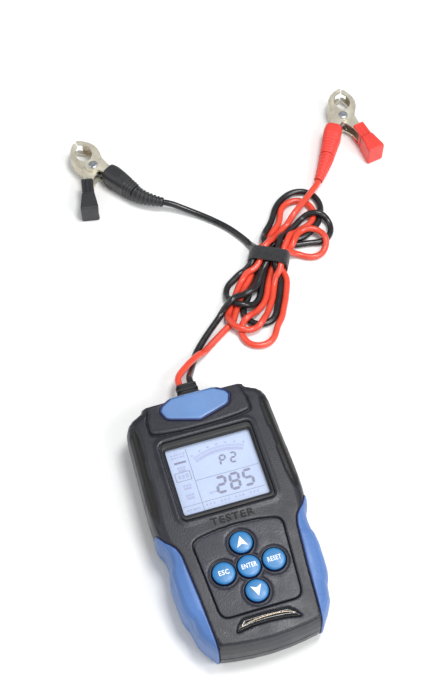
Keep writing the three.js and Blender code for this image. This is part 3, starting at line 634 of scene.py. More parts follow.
def inset(flat, voxel, z, levels):
    """A plan distance drawn in at each height by the levels' side, top and foot insets."""
    gx, gy = np.gradient(flat[:, :, 0], voxel)
    parts = gx ** 2, np.where(gy > 0, gy ** 2, 0), np.where(gy < 0, gy ** 2, 0)
    heights, *insets = np.array(levels, np.float32).T
    for part, drawn in zip(parts, insets):
        at = np.interp(z.ravel(), heights, drawn).astype(np.float32)
        flat = flat + part[:, :, None] * at[None, None, :]
    return flat


def core(f):
    """The block under the grips, which closes the housing's sides there."""
    return between(f.plan(CORE), f.z, CORE_LOW, CORE_HIGH, 2.5)


def housing(f):
    """The housing's skin, its outside with the grip seats cut away, and the room inside it."""
    skin = inset(f.plan(HOUSING), f.voxel, f.z, HOUSING_LEVELS)
    seat = np.minimum(f.plan(GRIP_EDGE), f.plan(GRIP_EDGE, flip_x=-1))
    rim = 0.45 * np.exp(-((rect(f.x, f.y, **WINDOW) - 2.0) / 1.5) ** 2)
    outer = both(both(skin, f.z - FACE_Z - rim, 1.4), -f.z, 2.0)
    outer = either(cut(outer, seat, 0.5), core(f))
    room = both(between(skin + WALL, f.z, WALL, FACE_Z - WALL), WALL - seat)
    return skin, outer, either(room, core(f) + WALL)


def shoulder_band(plan, y):
    """Distance to the shallow band along each shoulder, which jogs outwards in its middle. It is
    cut as a shallow groove and darkened by painted shade.
    """
    where, middle = np.array(BAND_JOG, np.float32).T
    half = 3.1 * fade(y, 4, 18) ** 0.5 * fade(y, 78, 70) ** 0.5
    return between(abs(plan + np.interp(y, where, middle)) - half, y, 4.6, 76.6, 1.2)


def front_housing():
    f = Field((-57, -97, 14.5), (57, 97, 39.5), 0.5)
    skin, shell, room = housing(f)
    bezel = f.plan(BEZEL)
    raised = both(both(bezel, f.z - 37.5, 1.2), skin - 0.6)
    shell = cut(either(shell, both(raised, 30 - f.z), 0.4), room)
    for x, y in CASE_SCREWS:
        post = between(f.reach(x, y) - 3.2, f.z, PARTING_Z, 34)
        pilot = f.reach(x, y) - 1.5 + 100 * (f.z > 27)
        shell = either(shell, cut(post, pilot))
    plate_gap = 0.5 + 0.9 * fade(f.y, -24, -10) * (abs(f.x) < 40)
    # A pocket's plan, the height of its floor, and the roundings of its foot and of its mouth.
    pockets = [
        (abs(bezel - 0.45) - 0.5, 35.0, 0.3, 0.4),
        (rect(f.x, f.y, **WINDOW), 33.3, 0.5, 0.9),
        (rect(f.x, f.y, 0, 30.7, 30.8, 25.5, 2), 28, 0, 0),
        (f.plan(KEY_PLATE) - plate_gap, 34.4, 0.3, 0.5),
        (f.plan(BADGE) - 0.45, 35.2, 0.3, 0.3),
        (f.plan(CAP) - 0.75, 34.3, 0, 0.3),
        (rect(f.x, f.y, 0, 93, 17.3, 3.3, 0.5), 24.8, 0, 0.3)]
    pockets += [(f.reach(x, y) - 8.4, 28, 0, 0) for x, y in KEY_PLACES.values()]
    for plan, floor, foot, mouth in pockets:
        shell = cut(shell, both(plan, floor - f.z, foot), mouth)
    band = shoulder_band(f.plan(HOUSING), f.y)
    depth = 0.6 - 1.1 * fade(f.z, 33, 29)
    shell = cut(shell, both(band, -(both(skin, f.z - FACE_Z, 1.4) + depth), 0.3), 1.3)
    shell = cut(shell, both(rect(f.x, f.y, **CABLE_GATE), f.z - 25.3))
    shell = both(shell, PARTING_Z - f.z, 0.6)
    piece = finish_piece(f.piece("housing_front", shell, relax=3), "shell", ["front_shell"])
    x, y, z = np.array([vert.co for vert in piece.data.vertices]).T / MM
    band = shoulder_band(outline_distance(HOUSING, x, y), y)
    # Painted shade mask: the shoulder band is marked for a darker colour that stands in for shade.
    painted_shoulder_shade = (fade(band, 0.7, -0.7) * (z > 25)).astype(np.float32)
    piece.data.attributes.new("painted_shoulder_shade", "FLOAT", "POINT").data.foreach_set("value", painted_shoulder_shade)


def rear_housing():
    f = Field((-57, -97, -1.5), (57, 97, 18.5), 0.5)
    _, shell, room = housing(f)
    shell = cut(shell, room)
    for x, y in CASE_SCREWS:
        shell = either(shell, between(f.reach(x, y) - 4.4, f.z, 1, 16.7), 0.6)
    saddle = between(rect(f.x, f.y, 0, 75, 15, 3, 0.6), f.z, 1, 10)
    shell = either(shell, saddle, 0.5)
    for x, y in CASE_SCREWS:
        reach = f.reach(x, y)
        shell = cut(cut(shell, both(reach - 3.4, f.z - 9), 0.5), reach - 1.8)
    label_seat = both(rect(f.x, f.y, 0, 18, 30, 26, 3), f.z - 0.6, 0.4)
    shell = cut(shell, label_seat, 0.5)
    for y in range(-30, -60, -5):
        groove = both(capsule(f.x, f.y, (-16, y), (16, y), 1.0), f.z - 0.7, 0.4)
        shell = cut(shell, groove, 0.4)
    shell = cut(shell, both(rect(f.x, f.y, **CABLE_GATE), 10.7 - f.z))
    shell = both(shell, f.z - 16.7, 0.6)
    finish_piece(f.piece("housing_rear", shell), "shell", ["rear_shell"])


def grips():
    f = Field((29, -96, -0.8), (58, 13, 38.4), 0.4)
    side = inset(f.plan(GRIP_SIDE), f.voxel, f.z, GRIP_LEVELS)
    outer = both(both(side, f.z - 36.6, 2.4), 1 - f.z, 1.6)
    edge = f.plan(GRIP_EDGE)
    for (x, y, z), (a, b, c), lean in GRIP_DENTS:
        px, py = f.x - x + lean * (f.y - y), f.y - y
        reach = np.sqrt((px / a) ** 2 + (py / b) ** 2 + ((f.z - z) / c) ** 2)
        outer = cut(outer, (reach - 1) * a, 1.6)
    off_core = 0.3 - core(f)
    body = both(both(outer, edge + 0.8, 0.7), off_core)
    # A navy strip at the foot of the gap along the grip's edge: painted shade.
    painted_edge_shade = both(both(outer + 0.45, both(edge + 0.1, -(edge + 0.95))), off_core)
    for name, sign in (("grip_right", 1), ("grip_left", -1)):
        def place(points):
            return points * np.array([sign, 1, 1])
        finish_piece(f.piece(name + "_rubber", body, place=place), "grip", [name])
        finish_piece(f.piece(name + "_seam", painted_edge_shade, place=place), "grip", look="painted_edge_shade")


def cable_cap():
    f = Field((-27, 69, 23.5), (27, 95.5, 40), 0.35)
    plan = f.plan(CAP)
    crown = 38.2 - 0.0012 * f.x ** 2
    top = both(between(plan, f.z, 34.6, 1e3, 0.5), f.z - crown, 1.4)
    lip = between(rect(f.x, f.z, 0, 30.6, 17, 5.5, 2.2), f.y, 90, 93.2, 0.8)
    finish_piece(f.piece("cap_cover", either(top, lip, 1.6)), "cap", ["cable_cap"])
    # A navy rim round the cap's edge: painted shade for its side wall and the gap round it.
    rim = both(between(abs(plan - 0.3) - 0.62, f.z, 34.4, 38.0, 0.3), f.y - 91.4)
    finish_piece(f.piece("cap_shadow_rim", rim), "cap", look="painted_edge_shade")


def display():
    f = Field((-35, 0, 32.2), (35, 63, 37), 0.3)
    rim = rect(f.x, f.y, 0, 31.45, 32.6, 29.45, 3.7)
    sight = rect(f.x, f.y, 0, 30.7, 29.8, 24.4, 1.2)
    surround = between(rim, f.z, 33.6, 35.7, 0.6)
    surround = cut(surround, sight - 0.95 * np.clip(f.z - 33.6, 0, 3), 0.4)
    finish_piece(f.piece("display_surround", surround), "window_frame", ["display_frame"], "frame")


# ---------------------------------------------------------------- reading
LCD_LOW, LCD_HIGH = 31.5, 31.56
LCD_LEFT, LCD_FOOT, LCD_WIDE, LCD_TALL = -29.8, 6.3, 59.6, 48.8
SCALE_R, SCALE_PARTS, TICKS = 41.0, 36, 25
DIGITS = {"2": "abged", "8": "abcdefg", "5": "afgcd", "P": "abefg"}
SEGMENTS = {
    "a": ((0, 1), (1, 1)), "b": ((1, 1), (1, .5)), "c": ((1, .5), (1, 0)), "d": ((1, 0), (0, 0)),
    "e": ((0, 0), (0, .5)), "f": ((0, .5), (0, 1)), "g": ((0, .5), (1, .5))}


def plates(name, polygons, look):
    """Thin plates with the given outlines, standing on the display's glass, in one piece."""
    points, faces = [], []
    for polygon in polygons:
        n, start = len(polygon), len(points)
        x, y = np.array(polygon).T
        if (x * np.roll(y, -1) - np.roll(x, -1) * y).sum() < 0:
            polygon = polygon[::-1]
        points += [(x, y, z) for z in (LCD_LOW, LCD_HIGH) for x, y in polygon]
        faces += [[start + k for k in face] for face in ring_faces(2, n)]
    finish_piece(mesh_piece(name, points, faces, smooth=False), "display", look=look)


def stroke(a, b):
    """The directions along and across the line between two places."""
    along = (b - a) / norm(b - a)
    return along, np.array([-along[1], along[0]])


def bar(a, b, half):
    """A stroke between two places, as an outline."""
    a, b = np.array(a, float), np.array(b, float)
    across = stroke(a, b)[1] * half
    return [a - across, b - across, b + across, a + across]


def digit(symbol, x, y, w, h, t):
    """Seven-segment strokes of one symbol, leaning a little, with pointed ends."""
    strokes = []
    for segment in DIGITS[symbol]:
        a, b = [np.array([x + u * w + 0.1 * v * h, y + v * h]) for u, v in SEGMENTS[segment]]
        along, across = stroke(a, b)
        a, b = a + along * t * 0.12, b - along * t * 0.12
        along, across = along * t * 0.5, across * t * 0.5
        strokes.append([a, a + along - across, b - along - across,
                        b, b - along + across, a + along + across])
    return strokes


def on_glass(u, v):
    """A place on the display, from shares of its width and height."""
    return LCD_LEFT + u * LCD_WIDE, LCD_FOOT + v * LCD_TALL


def dash(u0, u1, v, half):
    return bar(on_glass(u0, v), on_glass(u1, v), half)


def on_scale(turn, radius):
    """A place on the arc of the scale."""
    return np.array(on_glass(.60, -0.035)) + radius * np.array([math.sin(turn), math.cos(turn)])


def lcd():
    """The reading: a column of small signs, a scale, and two rows of figures."""
    figures = [bar(on_glass(.235, 0.01), on_glass(.235, .985), 0.16)]
    for symbol, u in (("P", .575), ("2", .70)):
        figures += digit(symbol, *on_glass(u, .60), 3.6, 7.0, 1.25)
    for k, symbol in enumerate("285"):
        figures += digit(symbol, *on_glass(.45 + .16 * k, .205), 5.9, 11.0, 1.9)
    lines = [dash(.245, .99, .475, 0.14), dash(.245, .99, .135, 0.14), dash(.01, .235, .135, 0.12),
             dash(.06, .20, .80, 0.75)]
    box = [on_glass(u, v) for u, v in ((.03, .52), (.205, .52), (.205, .65), (.03, .65))]
    lines += [bar(a, b, 0.16) for a, b in zip(box, box[1:] + box[:1])]
    ghost = []
    for row, v in enumerate((.93, .885, .07)):
        for k in range(5):
            u = .045 + k * .034
            ghost.append(dash(u, u + (.018, .028, .023)[(row + k) % 3], v, 0.6))
    for v in (.70, .42, .27):
        ghost += [dash(.08 + k * .034, .106 + k * .034, v + .02, 0.75) for k in range(3)]
        ghost.append(dash(.085, .17, v - .025, 0.85))
    ghost += [dash(.06 + k * .045, .09 + k * .045, .585, 1.5) for k in range(3)]
    ghost += [dash(.345 + k * .025, .36 + k * .025, .24, 0.9) for k in range(4)]
    for k in range(16):
        if k % 4 != 3:
            ghost.append(dash(.27 + k * .043, .27 + k * .043 + .02, .085, 0.75))
    for k in range(SCALE_PARTS):
        start, end = [-0.42 + 0.83 * (k + part) / SCALE_PARTS for part in (0, 0.72)]
        ghost.append([on_scale(start, SCALE_R), on_scale(end, SCALE_R),
                      on_scale(end, SCALE_R + 2.3), on_scale(start, SCALE_R + 2.3)])
    for k in range(TICKS):
        a = -0.41 + 0.81 * k / (TICKS - 1)
        ghost.append(bar(on_scale(a, SCALE_R + 3.0), on_scale(a, SCALE_R + 4.6), 0.42))
        if k % 4 == 0:
            ghost.append(bar(*[on_scale(a + by, SCALE_R + 6.2) for by in (-.018, .018)], 0.6))
    plates("lcd_figures", figures, "segment")
    plates("lcd_lines", lines, "segment")
    plates("lcd_scale_and_signs", ghost, "ghost")


def text_mesh(name, words, size, bold, extrude, wide, spacing):
    """Words as a thin mesh about the origin, stretched sideways by wide."""
    data = bpy.data.curves.new(name, "FONT")
    data.body = words
    data.size, data.offset, data.extrude = size * MM, bold * MM, extrude * MM
    data.align_x, data.align_y = "CENTER", "CENTER"
    data.resolution_u = 3
    data.space_character = spacing
    text = add_object(name + "_text", data)
    mesh = bpy.data.meshes.new_from_object(
        text.evaluated_get(bpy.context.evaluated_depsgraph_get()))
    bpy.data.objects.remove(text)
    work = bmesh.new()
    work.from_mesh(mesh)
    bmesh.ops.remove_doubles(work, verts=work.verts, dist=1e-7)
    for vert in work.verts:
        vert.co.x *= wide
    work.to_mesh(mesh)
    work.free()
    mesh.shade_flat()
    return add_object(name, mesh)


def lettering():
    piece = text_mesh("face_lettering", "TESTER", 6.9, 0.18, 0.22, wide=1.2, spacing=1.14)
    for vert in piece.data.vertices:
        vert.co += Vector((0, -4.6 * MM, 36.05 * MM))
    finish_piece(piece, "shell", look="letter")


# ---------------------------------------------------------------- keys and badge
LEGENDS = {"key_enter": ("ENTER", 0.7), "key_escape": ("ESC", 0.9), "key_reset": ("RESET", 0.7)}
ARROW = [(0, 4.0), (3.7, -3.3), (0, -1.5), (-3.7, -3.3)]
ARROW_THICK = 0.04
KEY_SIDE = [
    (8.35, 31), (8.4, 31.2), (8.4, 32.7), (8.2, 32.9), (7.85, 33.0), (7.75, 33.2), (7.7, 35),
    (7.7, 36.6)]
KEY_RINGS = (7.7, 7.6, 7.4, 7.1, 6.7, 6.2, 5.6, 4.8, 3.6, 2.4, 1.2, 0.3)


def keypad():
    """The dark plate round the keys, with a dish at each key and channels between them."""
    f = Field((-33, -72, 33.5), (33, -8, 38), 0.3)
    dish = np.zeros(np.broadcast(f.x, f.y).shape, np.float32)
    centre = KEY_PLACES["key_enter"]
    wells = np.full(dish.shape, 1e3, np.float32)
    for x, y in KEY_PLACES.values():
        reach = f.reach(x, y)
        dish = np.maximum(dish, 0.5 * fade(reach, 9.4, 8.6))
        wells = either(wells, reach - 9.9, 0.6)
        if (x, y) != centre:
            wells = either(wells, capsule(f.x, f.y, centre, (x, y), 3.8), 0.6)
    dish = np.maximum(dish, 0.3 * np.clip(0.4 - wells, 0, 1)) + 0.85 * np.exp(-(wells / 0.45) ** 2)
    top = 36.5 - dish - 0.0003 * f.x ** 2
    plate = both(both(f.plan(KEY_PLATE), f.z - top, 0.5), 34.8 - f.z)
    for x, y in KEY_PLACES.values():
        plate = cut(plate, f.reach(x, y) - 8.25, 0.3)
    finish_piece(f.piece("keypad_surround", plate, thin=0.1), "shell", ["keypad_plate"], "plate")


def dome(r):
    """The height of a key's top, that far from its middle."""
    return float(38.3 - 0.35 * (r / 7.0) ** 2 - 0.9 * fade(r, 6.1, 7.7) ** 3)


def arrow_mesh(name, sign):
    """A thin arrow head pointing up or down, with a point in the middle of each side to bend at."""
    outline = [(x, sign * y) for x, y in ARROW]
    points = [(a * (1 - t) + b * t, c * (1 - t) + d * t)
              for (a, c), (b, d) in zip(outline, outline[1:] + outline[:1])
              for t in (0, .25, .5, .75)][::sign]
    n = len(points)
    both_sides = [(x, y, z) for z in (-ARROW_THICK, ARROW_THICK) for x, y in points]
    middles = [(0, 0, -ARROW_THICK), (0, 0, ARROW_THICK)]
    faces = ring_faces(2, n, caps=False)
    faces += [((k + 1) % n, k, 2 * n) for k in range(n)]
    faces += [(n + k, n + (k + 1) % n, 2 * n + 1) for k in range(n)]
    return mesh_piece(name, both_sides + middles, faces, smooth=False)


def keys():
    profile = KEY_SIDE + [(r, dome(r)) for r in KEY_RINGS]
    for name, (x, y) in KEY_PLACES.items():
        piece = mesh_piece(name + "_button", *lathe(profile, 72, (x, y)))
        piece.data.materials.append(FINISH["key"])
        piece.data.materials.append(FINISH["key_side_painted_shade"])
        # The keys' steep sides take the darker navy: painted shade.
        for polygon in piece.data.polygons:
            if abs(polygon.normal.z) < 0.6 and polygon.center.z < 37.5 * MM:
                polygon.material_index = 1
        finish_piece(piece, "key", [name], body=name)
        if name in LEGENDS:
            words, wide = LEGENDS[name]
            legend = text_mesh(name + "_legend", words, 4.6, 0.06, 0.04, wide, spacing=1.12)
        else:
            legend = arrow_mesh(name + "_legend", 1 if name == "key_up" else -1)
        for vert in legend.data.vertices:
            r = math.hypot(vert.co.x, vert.co.y) / MM
            vert.co += Vector((x * MM, y * MM, (dome(r) + 0.02) * MM))
        finish_piece(legend, "key", look="print", body=name)


def badge():
    f = Field((-23, -84, 34.6), (25, -71.5, 38.2), 0.22)
    plan = f.plan(BADGE)
    ridge = 36.75 + 0.55 * np.exp(-((plan + 1.9) / 1.1) ** 2) - 0.1
    plaque = both(both(plan, f.z - ridge, 0.5), 35.5 - f.z)
    finish_piece(f.piece("badge_plaque", plaque), "badge", ["badge"])
    # A cream metal line along the badge's lower edge: a painted highlight that stands in for the
    # gloss's reflection.
    route = catmull([(-18.7, -79.2, 36.95), (-14, -77.6, 37.2), (-7, -76.4, 37.25),
                     (0, -76.05, 37.25), (8, -76.3, 37.25), (15, -77.3, 37.15),
                     (19.6, -79.2, 36.95)], 1.0)
    along = np.clip(np.linspace(0, 1, len(route)), .04, .96)
    line = tube_piece("badge_highlight", route, 0.36 * np.sin(math.pi * along) ** 0.5, 12)
    finish_piece(line, "badge", look="badge_painted_highlight")


def strain_relief():
    f = Field((-12, 85, 9), (12, 110, 27), 0.3)
    z = f.z - 18
    taper = fade(f.y, 94, 108)
    flange = between(rect(f.x, z, 0, -0.3, 10.6, 7.3, 1.5), f.y, 86.6, 89.6, 0.4)
    neck = between(rect(f.x, z, 0, 0, 8.2, 6.7, 2), f.y, 89, 94, 0.3)
    body = rect(f.x, z, 0, 0, 7.0 - 0.8 * taper, 5.6 - 0.6 * taper, 2.4)
    relief = either(either(flange, neck, 0.4), between(body, f.y, 93, 108.0, 0.5), 0.5)
    for k in range(4):
        start = 94.2 + 4 * k
        rib = rect(f.x, z, 0, 0, 8.5 - 0.35 * k, 6.9 - 0.3 * k, 2.6)
        relief = either(relief, between(rib, f.y, start, min(start + 2.2, 108), 0.7), 0.5)
    for x in (-4.2, 4.2):
        reach = np.hypot(f.x - x, z)
        relief = either(relief, between(reach - 3.6, f.y, 105, 108.2, 0.5), 0.5)
        relief = cut(relief, both(reach - 2.65, 106.8 - f.y), 0.3)
    piece = f.piece("strain_relief_boot", relief)
    finish_piece(piece, "black_rubber", ["strain_relief"], "rubber")


# ---------------------------------------------------------------- clamps
# A clamp is worked out with its pivot at the origin and its jaws towards +x, then turned by axis
# and put at x, y. Its cable handle is on the side that "side" gives, and its boot bends by turn.
# GRIP and LEVER say where the two handles start and by how many degrees they lean outwards.
CLAMPS = {
    "black": dict(x=-14.5, y=323, axis=107.3, side=-1, turn=30),
    "red": dict(x=193.6, y=313.3, axis=74.1, side=1, turn=-6)}
CLAMP_Z = 9.0
GRIP = dict(x=-9.0, y=7.5, lean=15, length=29.9)
LEVER = dict(x=-9.1, y=11.5, lean=27)
CABLE_TANG = dict(outer=[(-21.6, 14.4), (-6, 10.2)], inner=[(-6.4, 1), (-12, 4.4), (-23.4, 7.8)])
THUMB_TANG = dict(outer=[(-18.3, 19.9), (-6, 12.5)], inner=[(-7, 1.6), (-12, 8), (-21.3, 13.9)])


def heading(degrees):
    return np.array([math.cos(math.radians(degrees)), math.sin(math.radians(degrees))])


def to_world(clamp):
    """Moves points from a clamp's own frame to where it lies."""
    (c, s), (x, y) = heading(clamp["axis"]), (clamp["x"], clamp["y"])

    def place(q):
        return np.stack([x + c * q[:, 0] - s * q[:, 1], y + s * q[:, 0] + c * q[:, 1], q[:, 2]],
                        axis=1)
    return place


def handle_line(f, handle, side):
    """Distance along a handle from its start, and across it, over the field."""
    x, y = f.x - handle["x"], f.y - side * handle["y"]
    way = heading(180 - side * handle["lean"])
    return x * way[0] + y * way[1], -x * way[1] + y * way[0]


def tang_pocket(f, tang, side, low, high):
    """The slot in a handle that a jaw's tang sits in."""
    outer, inner = tang["outer"], tang["inner"]
    grown = [(outer[0][0] - 1.2, outer[0][1] + 0.6), (outer[1][0] + 1, outer[1][1] + 0.6),
             (inner[1][0] + 6, inner[1][1] - 2.2), (inner[1][0], inner[1][1] - 0.5),
             (inner[2][0] - 1.2, inner[2][1] - 0.5)]
    return between(f.plan(grown, flip_y=side), f.z, low, high)


def clamp_handle(name, clamp):
    side = clamp["side"]
    f = Field((-42, min(0, side * 24), -0.9), (-4, max(0, side * 24), 18.9), 0.35)
    s, t = handle_line(f, GRIP, side)
    half = 6.6 + 0.8 * fade(s, 0, 6) - 1.6 * fade(s, 8, 29.6)
    high = 9.0 - 1.5 * fade(s, 14, 29.6) - 0.6 * fade(s, 3, 0)
    tube = rect(t, f.z - CLAMP_Z, 0, 0, half, high, 4.4)
    handle = between(tube, s, 0.1, 29.5, 1.2)
    for at in np.arange(27.7, 11 if name == "red" else 20, -2.7):
        groove = both(abs(s - at) - 0.55, -(tube + 0.95), 0.2)
        handle = cut(handle, groove, 0.5)
    handle = cut(handle, tang_pocket(f, CABLE_TANG, side, 1.9, 16.1), 0.2)
    piece = f.piece(name + "_clamp_grip", handle, place=to_world(clamp))
    return finish_piece(piece, name + "_plastic", [name + "_clamp_handle"])


def clamp_lever(name, clamp):
    side = -clamp["side"]
    f = Field((-42, min(4 * side, side * 34), -0.9), (-2, max(4 * side, side * 34), 18.9), 0.35)
    s, t = handle_line(f, LEVER, side)
    t, z = -t * side, f.z - CLAMP_Z
    slim = between(rect(t, z, 0, 0, 4.7, 8.0, 1.4), s, 0.2, 15.5, 0.8)
    for k in (-1, 1):
        groove = both(abs(t - 1.7 * k) - 0.55, 7.2 - abs(z), 0.2)
        slim = cut(slim, between(groove, s, 1.5, 13, 0.3), 0.4)
    flare = 5.0 + 2.0 * fade(s, 14, 27)
    wedge = between(rect(t, z, 0, 0, flare, 8.9, 1.6), s, 13.6, 29.9, 1.2)
    dent = np.sqrt(((s - 22) / 7) ** 2 + (z / 6.4) ** 2 + ((t + 7.6) / 1.4) ** 2) - 1
    lever = cut(either(slim, wedge, 0.6), dent, 0.7)
    lever = cut(lever, tang_pocket(f, THUMB_TANG, side, 3.5, 14.5), 0.2)
    piece = f.piece(name + "_clamp_lever_grip", lever, place=to_world(clamp))
    return finish_piece(piece, name + "_plastic", [name + "_clamp_thumb_lever"],
                        body=name + "_clamp_lever")


def along_bend(x, y, line):
    """Distance along a bent line, and across it, over a plan. It runs on a little at its ends."""
    gone = length_along(line)
    reach = np.full(np.broadcast(x, y).shape, 1e9, np.float32)
    s, t = np.zeros(reach.shape, np.float32), np.zeros(reach.shape, np.float32)
    last = len(line) - 2
    for k, (here, e) in enumerate(zip(line, np.diff(line, axis=0))):
        size = norm(e)
        px, py = x - here[0], y - here[1]
        held = np.clip((px * e[0] + py * e[1]) / size, 0 if k else -5, size + 5 * (k == last))
        d = np.hypot(px - e[0] / size * held, py - e[1] / size * held)
        near = d < reach
        reach = np.where(near, d, reach)
        s = np.where(near, gone[k] + held, s)
        t = np.where(near, (-px * e[1] + py * e[0]) / size, t)
    return s[:, :, None], t[:, :, None], gone[-1]


def clamp_boot(name, clamp):
    """The ribbed, tapering boot that the lead goes into, which bends by the clamp's turn."""
    side = clamp["side"]
    lean = 180 - side * GRIP["lean"]
    start = np.array([GRIP["x"], side * GRIP["y"]]) + heading(lean) * GRIP["length"]
    middle = start + heading(lean) * 9
    end = middle + heading(lean + clamp["turn"]) * 16
    u = np.linspace(0, 1, 61)[:, None]
    line = (1 - u) ** 2 * start + 2 * u * (1 - u) * middle + u ** 2 * end
    f = Field((*(line.min(0) - 9), -0.2), (*(line.max(0) + 9), 18.2), 0.33)
    s, t, length = along_bend(f.x[:, :, 0], f.y[:, :, 0], line)
    z = f.z - CLAMP_Z
    part = fade(s, 0, length)
    wide, high = 5.2 - 2.2 * part, 6.7 - 3.4 * part

    def oval(extra):
        reach = np.hypot(t / (wide + extra), z / (high + extra))
        return (reach - 1) * (wide + extra) * 0.8

    boot = between(oval(-0.1), s, 0.1, length - 0.1, 0.6)
    for k in range(7):
        at = 0.2 + k * (length - 5.4) / 6
        boot = either(boot, between(oval(1.05 - 0.06 * k), s, at, at + 1.9, 0.8), 0.35)
    boot = either(boot, between(oval(0.6), s, length - 2.6, length, 0.7), 0.4)
    boot = cut(boot, both(np.hypot(t, z) - 2.7, length - 1.4 - s), 0.3)
    piece = f.piece(name + "_clamp_cable_boot", boot, place=to_world(clamp))
    return finish_piece(piece, name + "_plastic", [name + "_clamp_boot"])


RIVET = [
    (0.4, 0.9), (2.6, 0.95), (3.4, 1.25), (3.6, 1.6), (3.6, 1.9), (2, 1.95), (2, 16.05),
    (3.6, 16.1), (3.6, 16.5), (3.3, 16.8), (2.4, 17.05), (1.2, 16.9), (0.4, 16.8)]
COIL_R, COIL_TURNS, WIRE_R = 4.3, 3, 0.68


def clamp_metal(name, clamp):
    """The rivet, the coil spring, and the two jaws, which keep their CAD shapes."""
    name += "_clamp_"
    pin = mesh_piece(name + "rivet", *lathe(RIVET, 40, (clamp["x"], clamp["y"])))
    finish_piece(pin, "steel", [name + "pivot_pin"])
    steps = np.arange(0, 36 * COIL_TURNS + 1)
    angle = np.radians(200 + 10 * steps)
    coil = np.stack([COIL_R * np.cos(angle), COIL_R * np.sin(angle), 6.4 + 5.2 * steps / steps[-1]],
                    axis=1)
    route = np.vstack([[(-7.2, -3.4, 6.4), (-5.7, -2.5, 6.4)], coil,
                       [(-5.6, 2.7, 11.6), (-7.2, 3.6, 11.6)]])
    spring = tube_piece(name + "coil_spring", to_world(clamp)(route), WIRE_R, 10)
    finish_piece(spring, "steel", [name + "spring"])
    return [pin, spring] + [dress(name + jaw, "jaw", 0.25) for jaw in ("fixed_jaw", "moving_jaw")]


def dress(node, look, bevel=0.0):
    """A CAD node keeps its shape and gets a finish, and small round edges."""
    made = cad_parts[node]
    made.data.materials.clear()
    made.data.materials.append(FINISH[look])
    if bevel:
        edges = made.modifiers.new("edges", "BEVEL")
        edges.width = bevel * MM
        edges.segments = 2
        edges.limit_method = "ANGLE"
        edges.angle_limit = math.radians(35)
    return made


# ---------------------------------------------------------------- strap
STRAP_WIDE, STRAP_HALF, STRAP_LOW, STRAP_TOP = 12.5, 14.9, 0.55, 13.1
UPPER_R, LOWER_R = 5.2, 2.2
STRAP_THICK, EDGE_THIN, LOOP_PILE = 0.42, 0.25, 0.035
COLUMNS = 13


def strap():
    """A hook-and-loop band round the hank, whose end lies over its start on the top."""
    loop = []
    for x, z, r, start in ((STRAP_HALF - UPPER_R, STRAP_TOP - UPPER_R, UPPER_R, 0),
                           (UPPER_R - STRAP_HALF, STRAP_TOP - UPPER_R, UPPER_R, 90),
                           (LOWER_R - STRAP_HALF, STRAP_LOW + LOWER_R, LOWER_R, 180),
                           (STRAP_HALF - LOWER_R, STRAP_LOW + LOWER_R, LOWER_R, 270)):
        turn = np.radians(start + np.linspace(0, 90, 9))
        loop += list(zip(x + r * np.cos(turn), z + r * np.sin(turn)))
    line = np.array(loop[10:] + loop[:22])
    n = len(line)
    out = line - np.array([0, 6.5])
    out /= norm(out, axis=1)[:, None]
    line += out * 0.95 * fade(np.arange(n), n - 14, n - 10)[:, None]
    tangent = np.gradient(line, axis=0)
    tangent /= norm(tangent, axis=1)[:, None]
    rng = np.random.default_rng(5)
    share = np.linspace(-1, 1, COLUMNS)
    points = []
    for i, (q, way) in enumerate(zip(line, tangent)):
        along = share * STRAP_WIDE / 2 + 0.8 * math.sin(i * 0.21)
        for layer in (-1, 1):
            thick = layer * (STRAP_THICK - EDGE_THIN * share ** 4)
            thick += rng.normal(0, LOOP_PILE, COLUMNS)
            v, z = q[0] + way[1] * thick, q[1] - way[0] * thick
            row = CENTRE + np.outer(along, U) - np.outer(v, V) + np.outer(z, (0, 0, 1))
            points += list(row if layer < 0 else row[::-1])
    per = 2 * COLUMNS
    faces = ring_faces(n, per, caps=False)
    for k in range(COLUMNS - 1):
        quad = [k, per - 1 - k, per - 2 - k, k + 1]
        faces += [quad, [(n - 1) * per + at for at in quad[::-1]]]
    piece = mesh_piece("hank_strap", points, faces, weld=True)
    smooth = piece.modifiers.new("smooth", "SUBSURF")
    smooth.levels = smooth.render_levels = 2
    return finish_piece(piece, "strap", ["strap"])


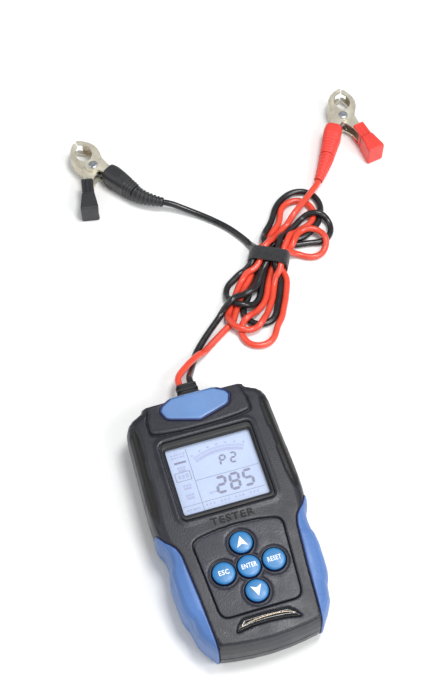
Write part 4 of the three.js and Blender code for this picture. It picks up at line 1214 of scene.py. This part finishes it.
# ---------------------------------------------------------------- put together
FLOOR_HALF = 3000
SKY_COLOUR, SKY_STRENGTH = (0.95, 0.97, 1, 1), 0.42
LIT_SPOT = (0.03, 0.1, 0)
LIGHTS = [
    ("key_light", (0.7, -0.7, 1.0), 0.7, 11), ("fill_light", (-0.9, 0.5, 0.8), 0.9, 3),
    ("top_light", (0.3, 0.15, 1.2), 0.35, 9), ("front_light", (-0.1, -1.0, 0.4), 0.6, 2)]
INSIDE = {
    "lens": ["display_window"], "lcd": ["display_glass"], "light_guide": ["backlight"],
    "rubber": ["contact_strip_upper", "contact_strip_lower", "keypad_mat"],
    "board": ["main_board"], "ceramic": ["load_resistor"],
    "component": ["processor", "capacitor", "buzzer", "wire_clamp_bar"],
    "red_cable": ["inner_wire_red"], "black_cable": ["inner_wire_black"],
    "steel": ["wire_clamp_screw_1", "wire_clamp_screw_2"]
             + ["%s_screw_%d" % (kind, k) for kind in ("case", "board") for k in (1, 2, 3, 4)]}


def add_room():
    corners = [(x * FLOOR_HALF, y * FLOOR_HALF, 0) for x, y in ((-1, -1), (1, -1), (1, 1), (-1, 1))]
    floor = mesh_piece("floor", corners, [(0, 1, 2, 3)], smooth=False)
    floor.data.materials.append(
        surface("floor_paper", "f4f4f3", 0.85, tone=0.01, patch=3, grain=300, bump=0.02))
    world = bpy.data.worlds.new("studio")
    bpy.context.scene.world = world
    world.use_nodes = True
    sky = world.node_tree.nodes["Background"].inputs
    sky["Color"].default_value, sky["Strength"].default_value = SKY_COLOUR, SKY_STRENGTH
    for name, place, size, power in LIGHTS:
        data = bpy.data.lights.new(name, "AREA")
        data.size, data.energy = size, power
        aim(add_object(name, data), place, LIT_SPOT)


def add_leads():
    drawn = [catmull(route, LEAD_STEP) for route in (RED_ROUTE, BLACK_ROUTE)]
    laid = settle([evened(line) for line in settle(drawn, LEAD_STEP, 220)], LEAD_STEP, 140)
    tie = strap()
    for name, line in zip(("red", "black"), laid):
        clamp = CLAMPS[name]
        held = [make(name, clamp) for make in (clamp_handle, clamp_boot, clamp_lever)]
        held += clamp_metal(name, clamp) + ([tie] if name == "red" else [])
        lead = lead_curve(name + "_lead", line)
        cad = [name + "_lead_" + part for part in ("entry", "hank", "exit")]
        finish_piece(lead, name + "_cable", cad)
        round(float(length_along(line)[-1]) * MM, 3)


def dress_inside():
    for look, nodes in INSIDE.items():
        for node in nodes:
            dress(node, look, 0.15 if look in ("steel", "component", "ceramic") else 0.0)


add_room()
add_leads()
front_housing()
rear_housing()
grips()
cable_cap()
display()
lcd()
lettering()
keypad()
keys()
badge()
strain_relief()
dress_inside()
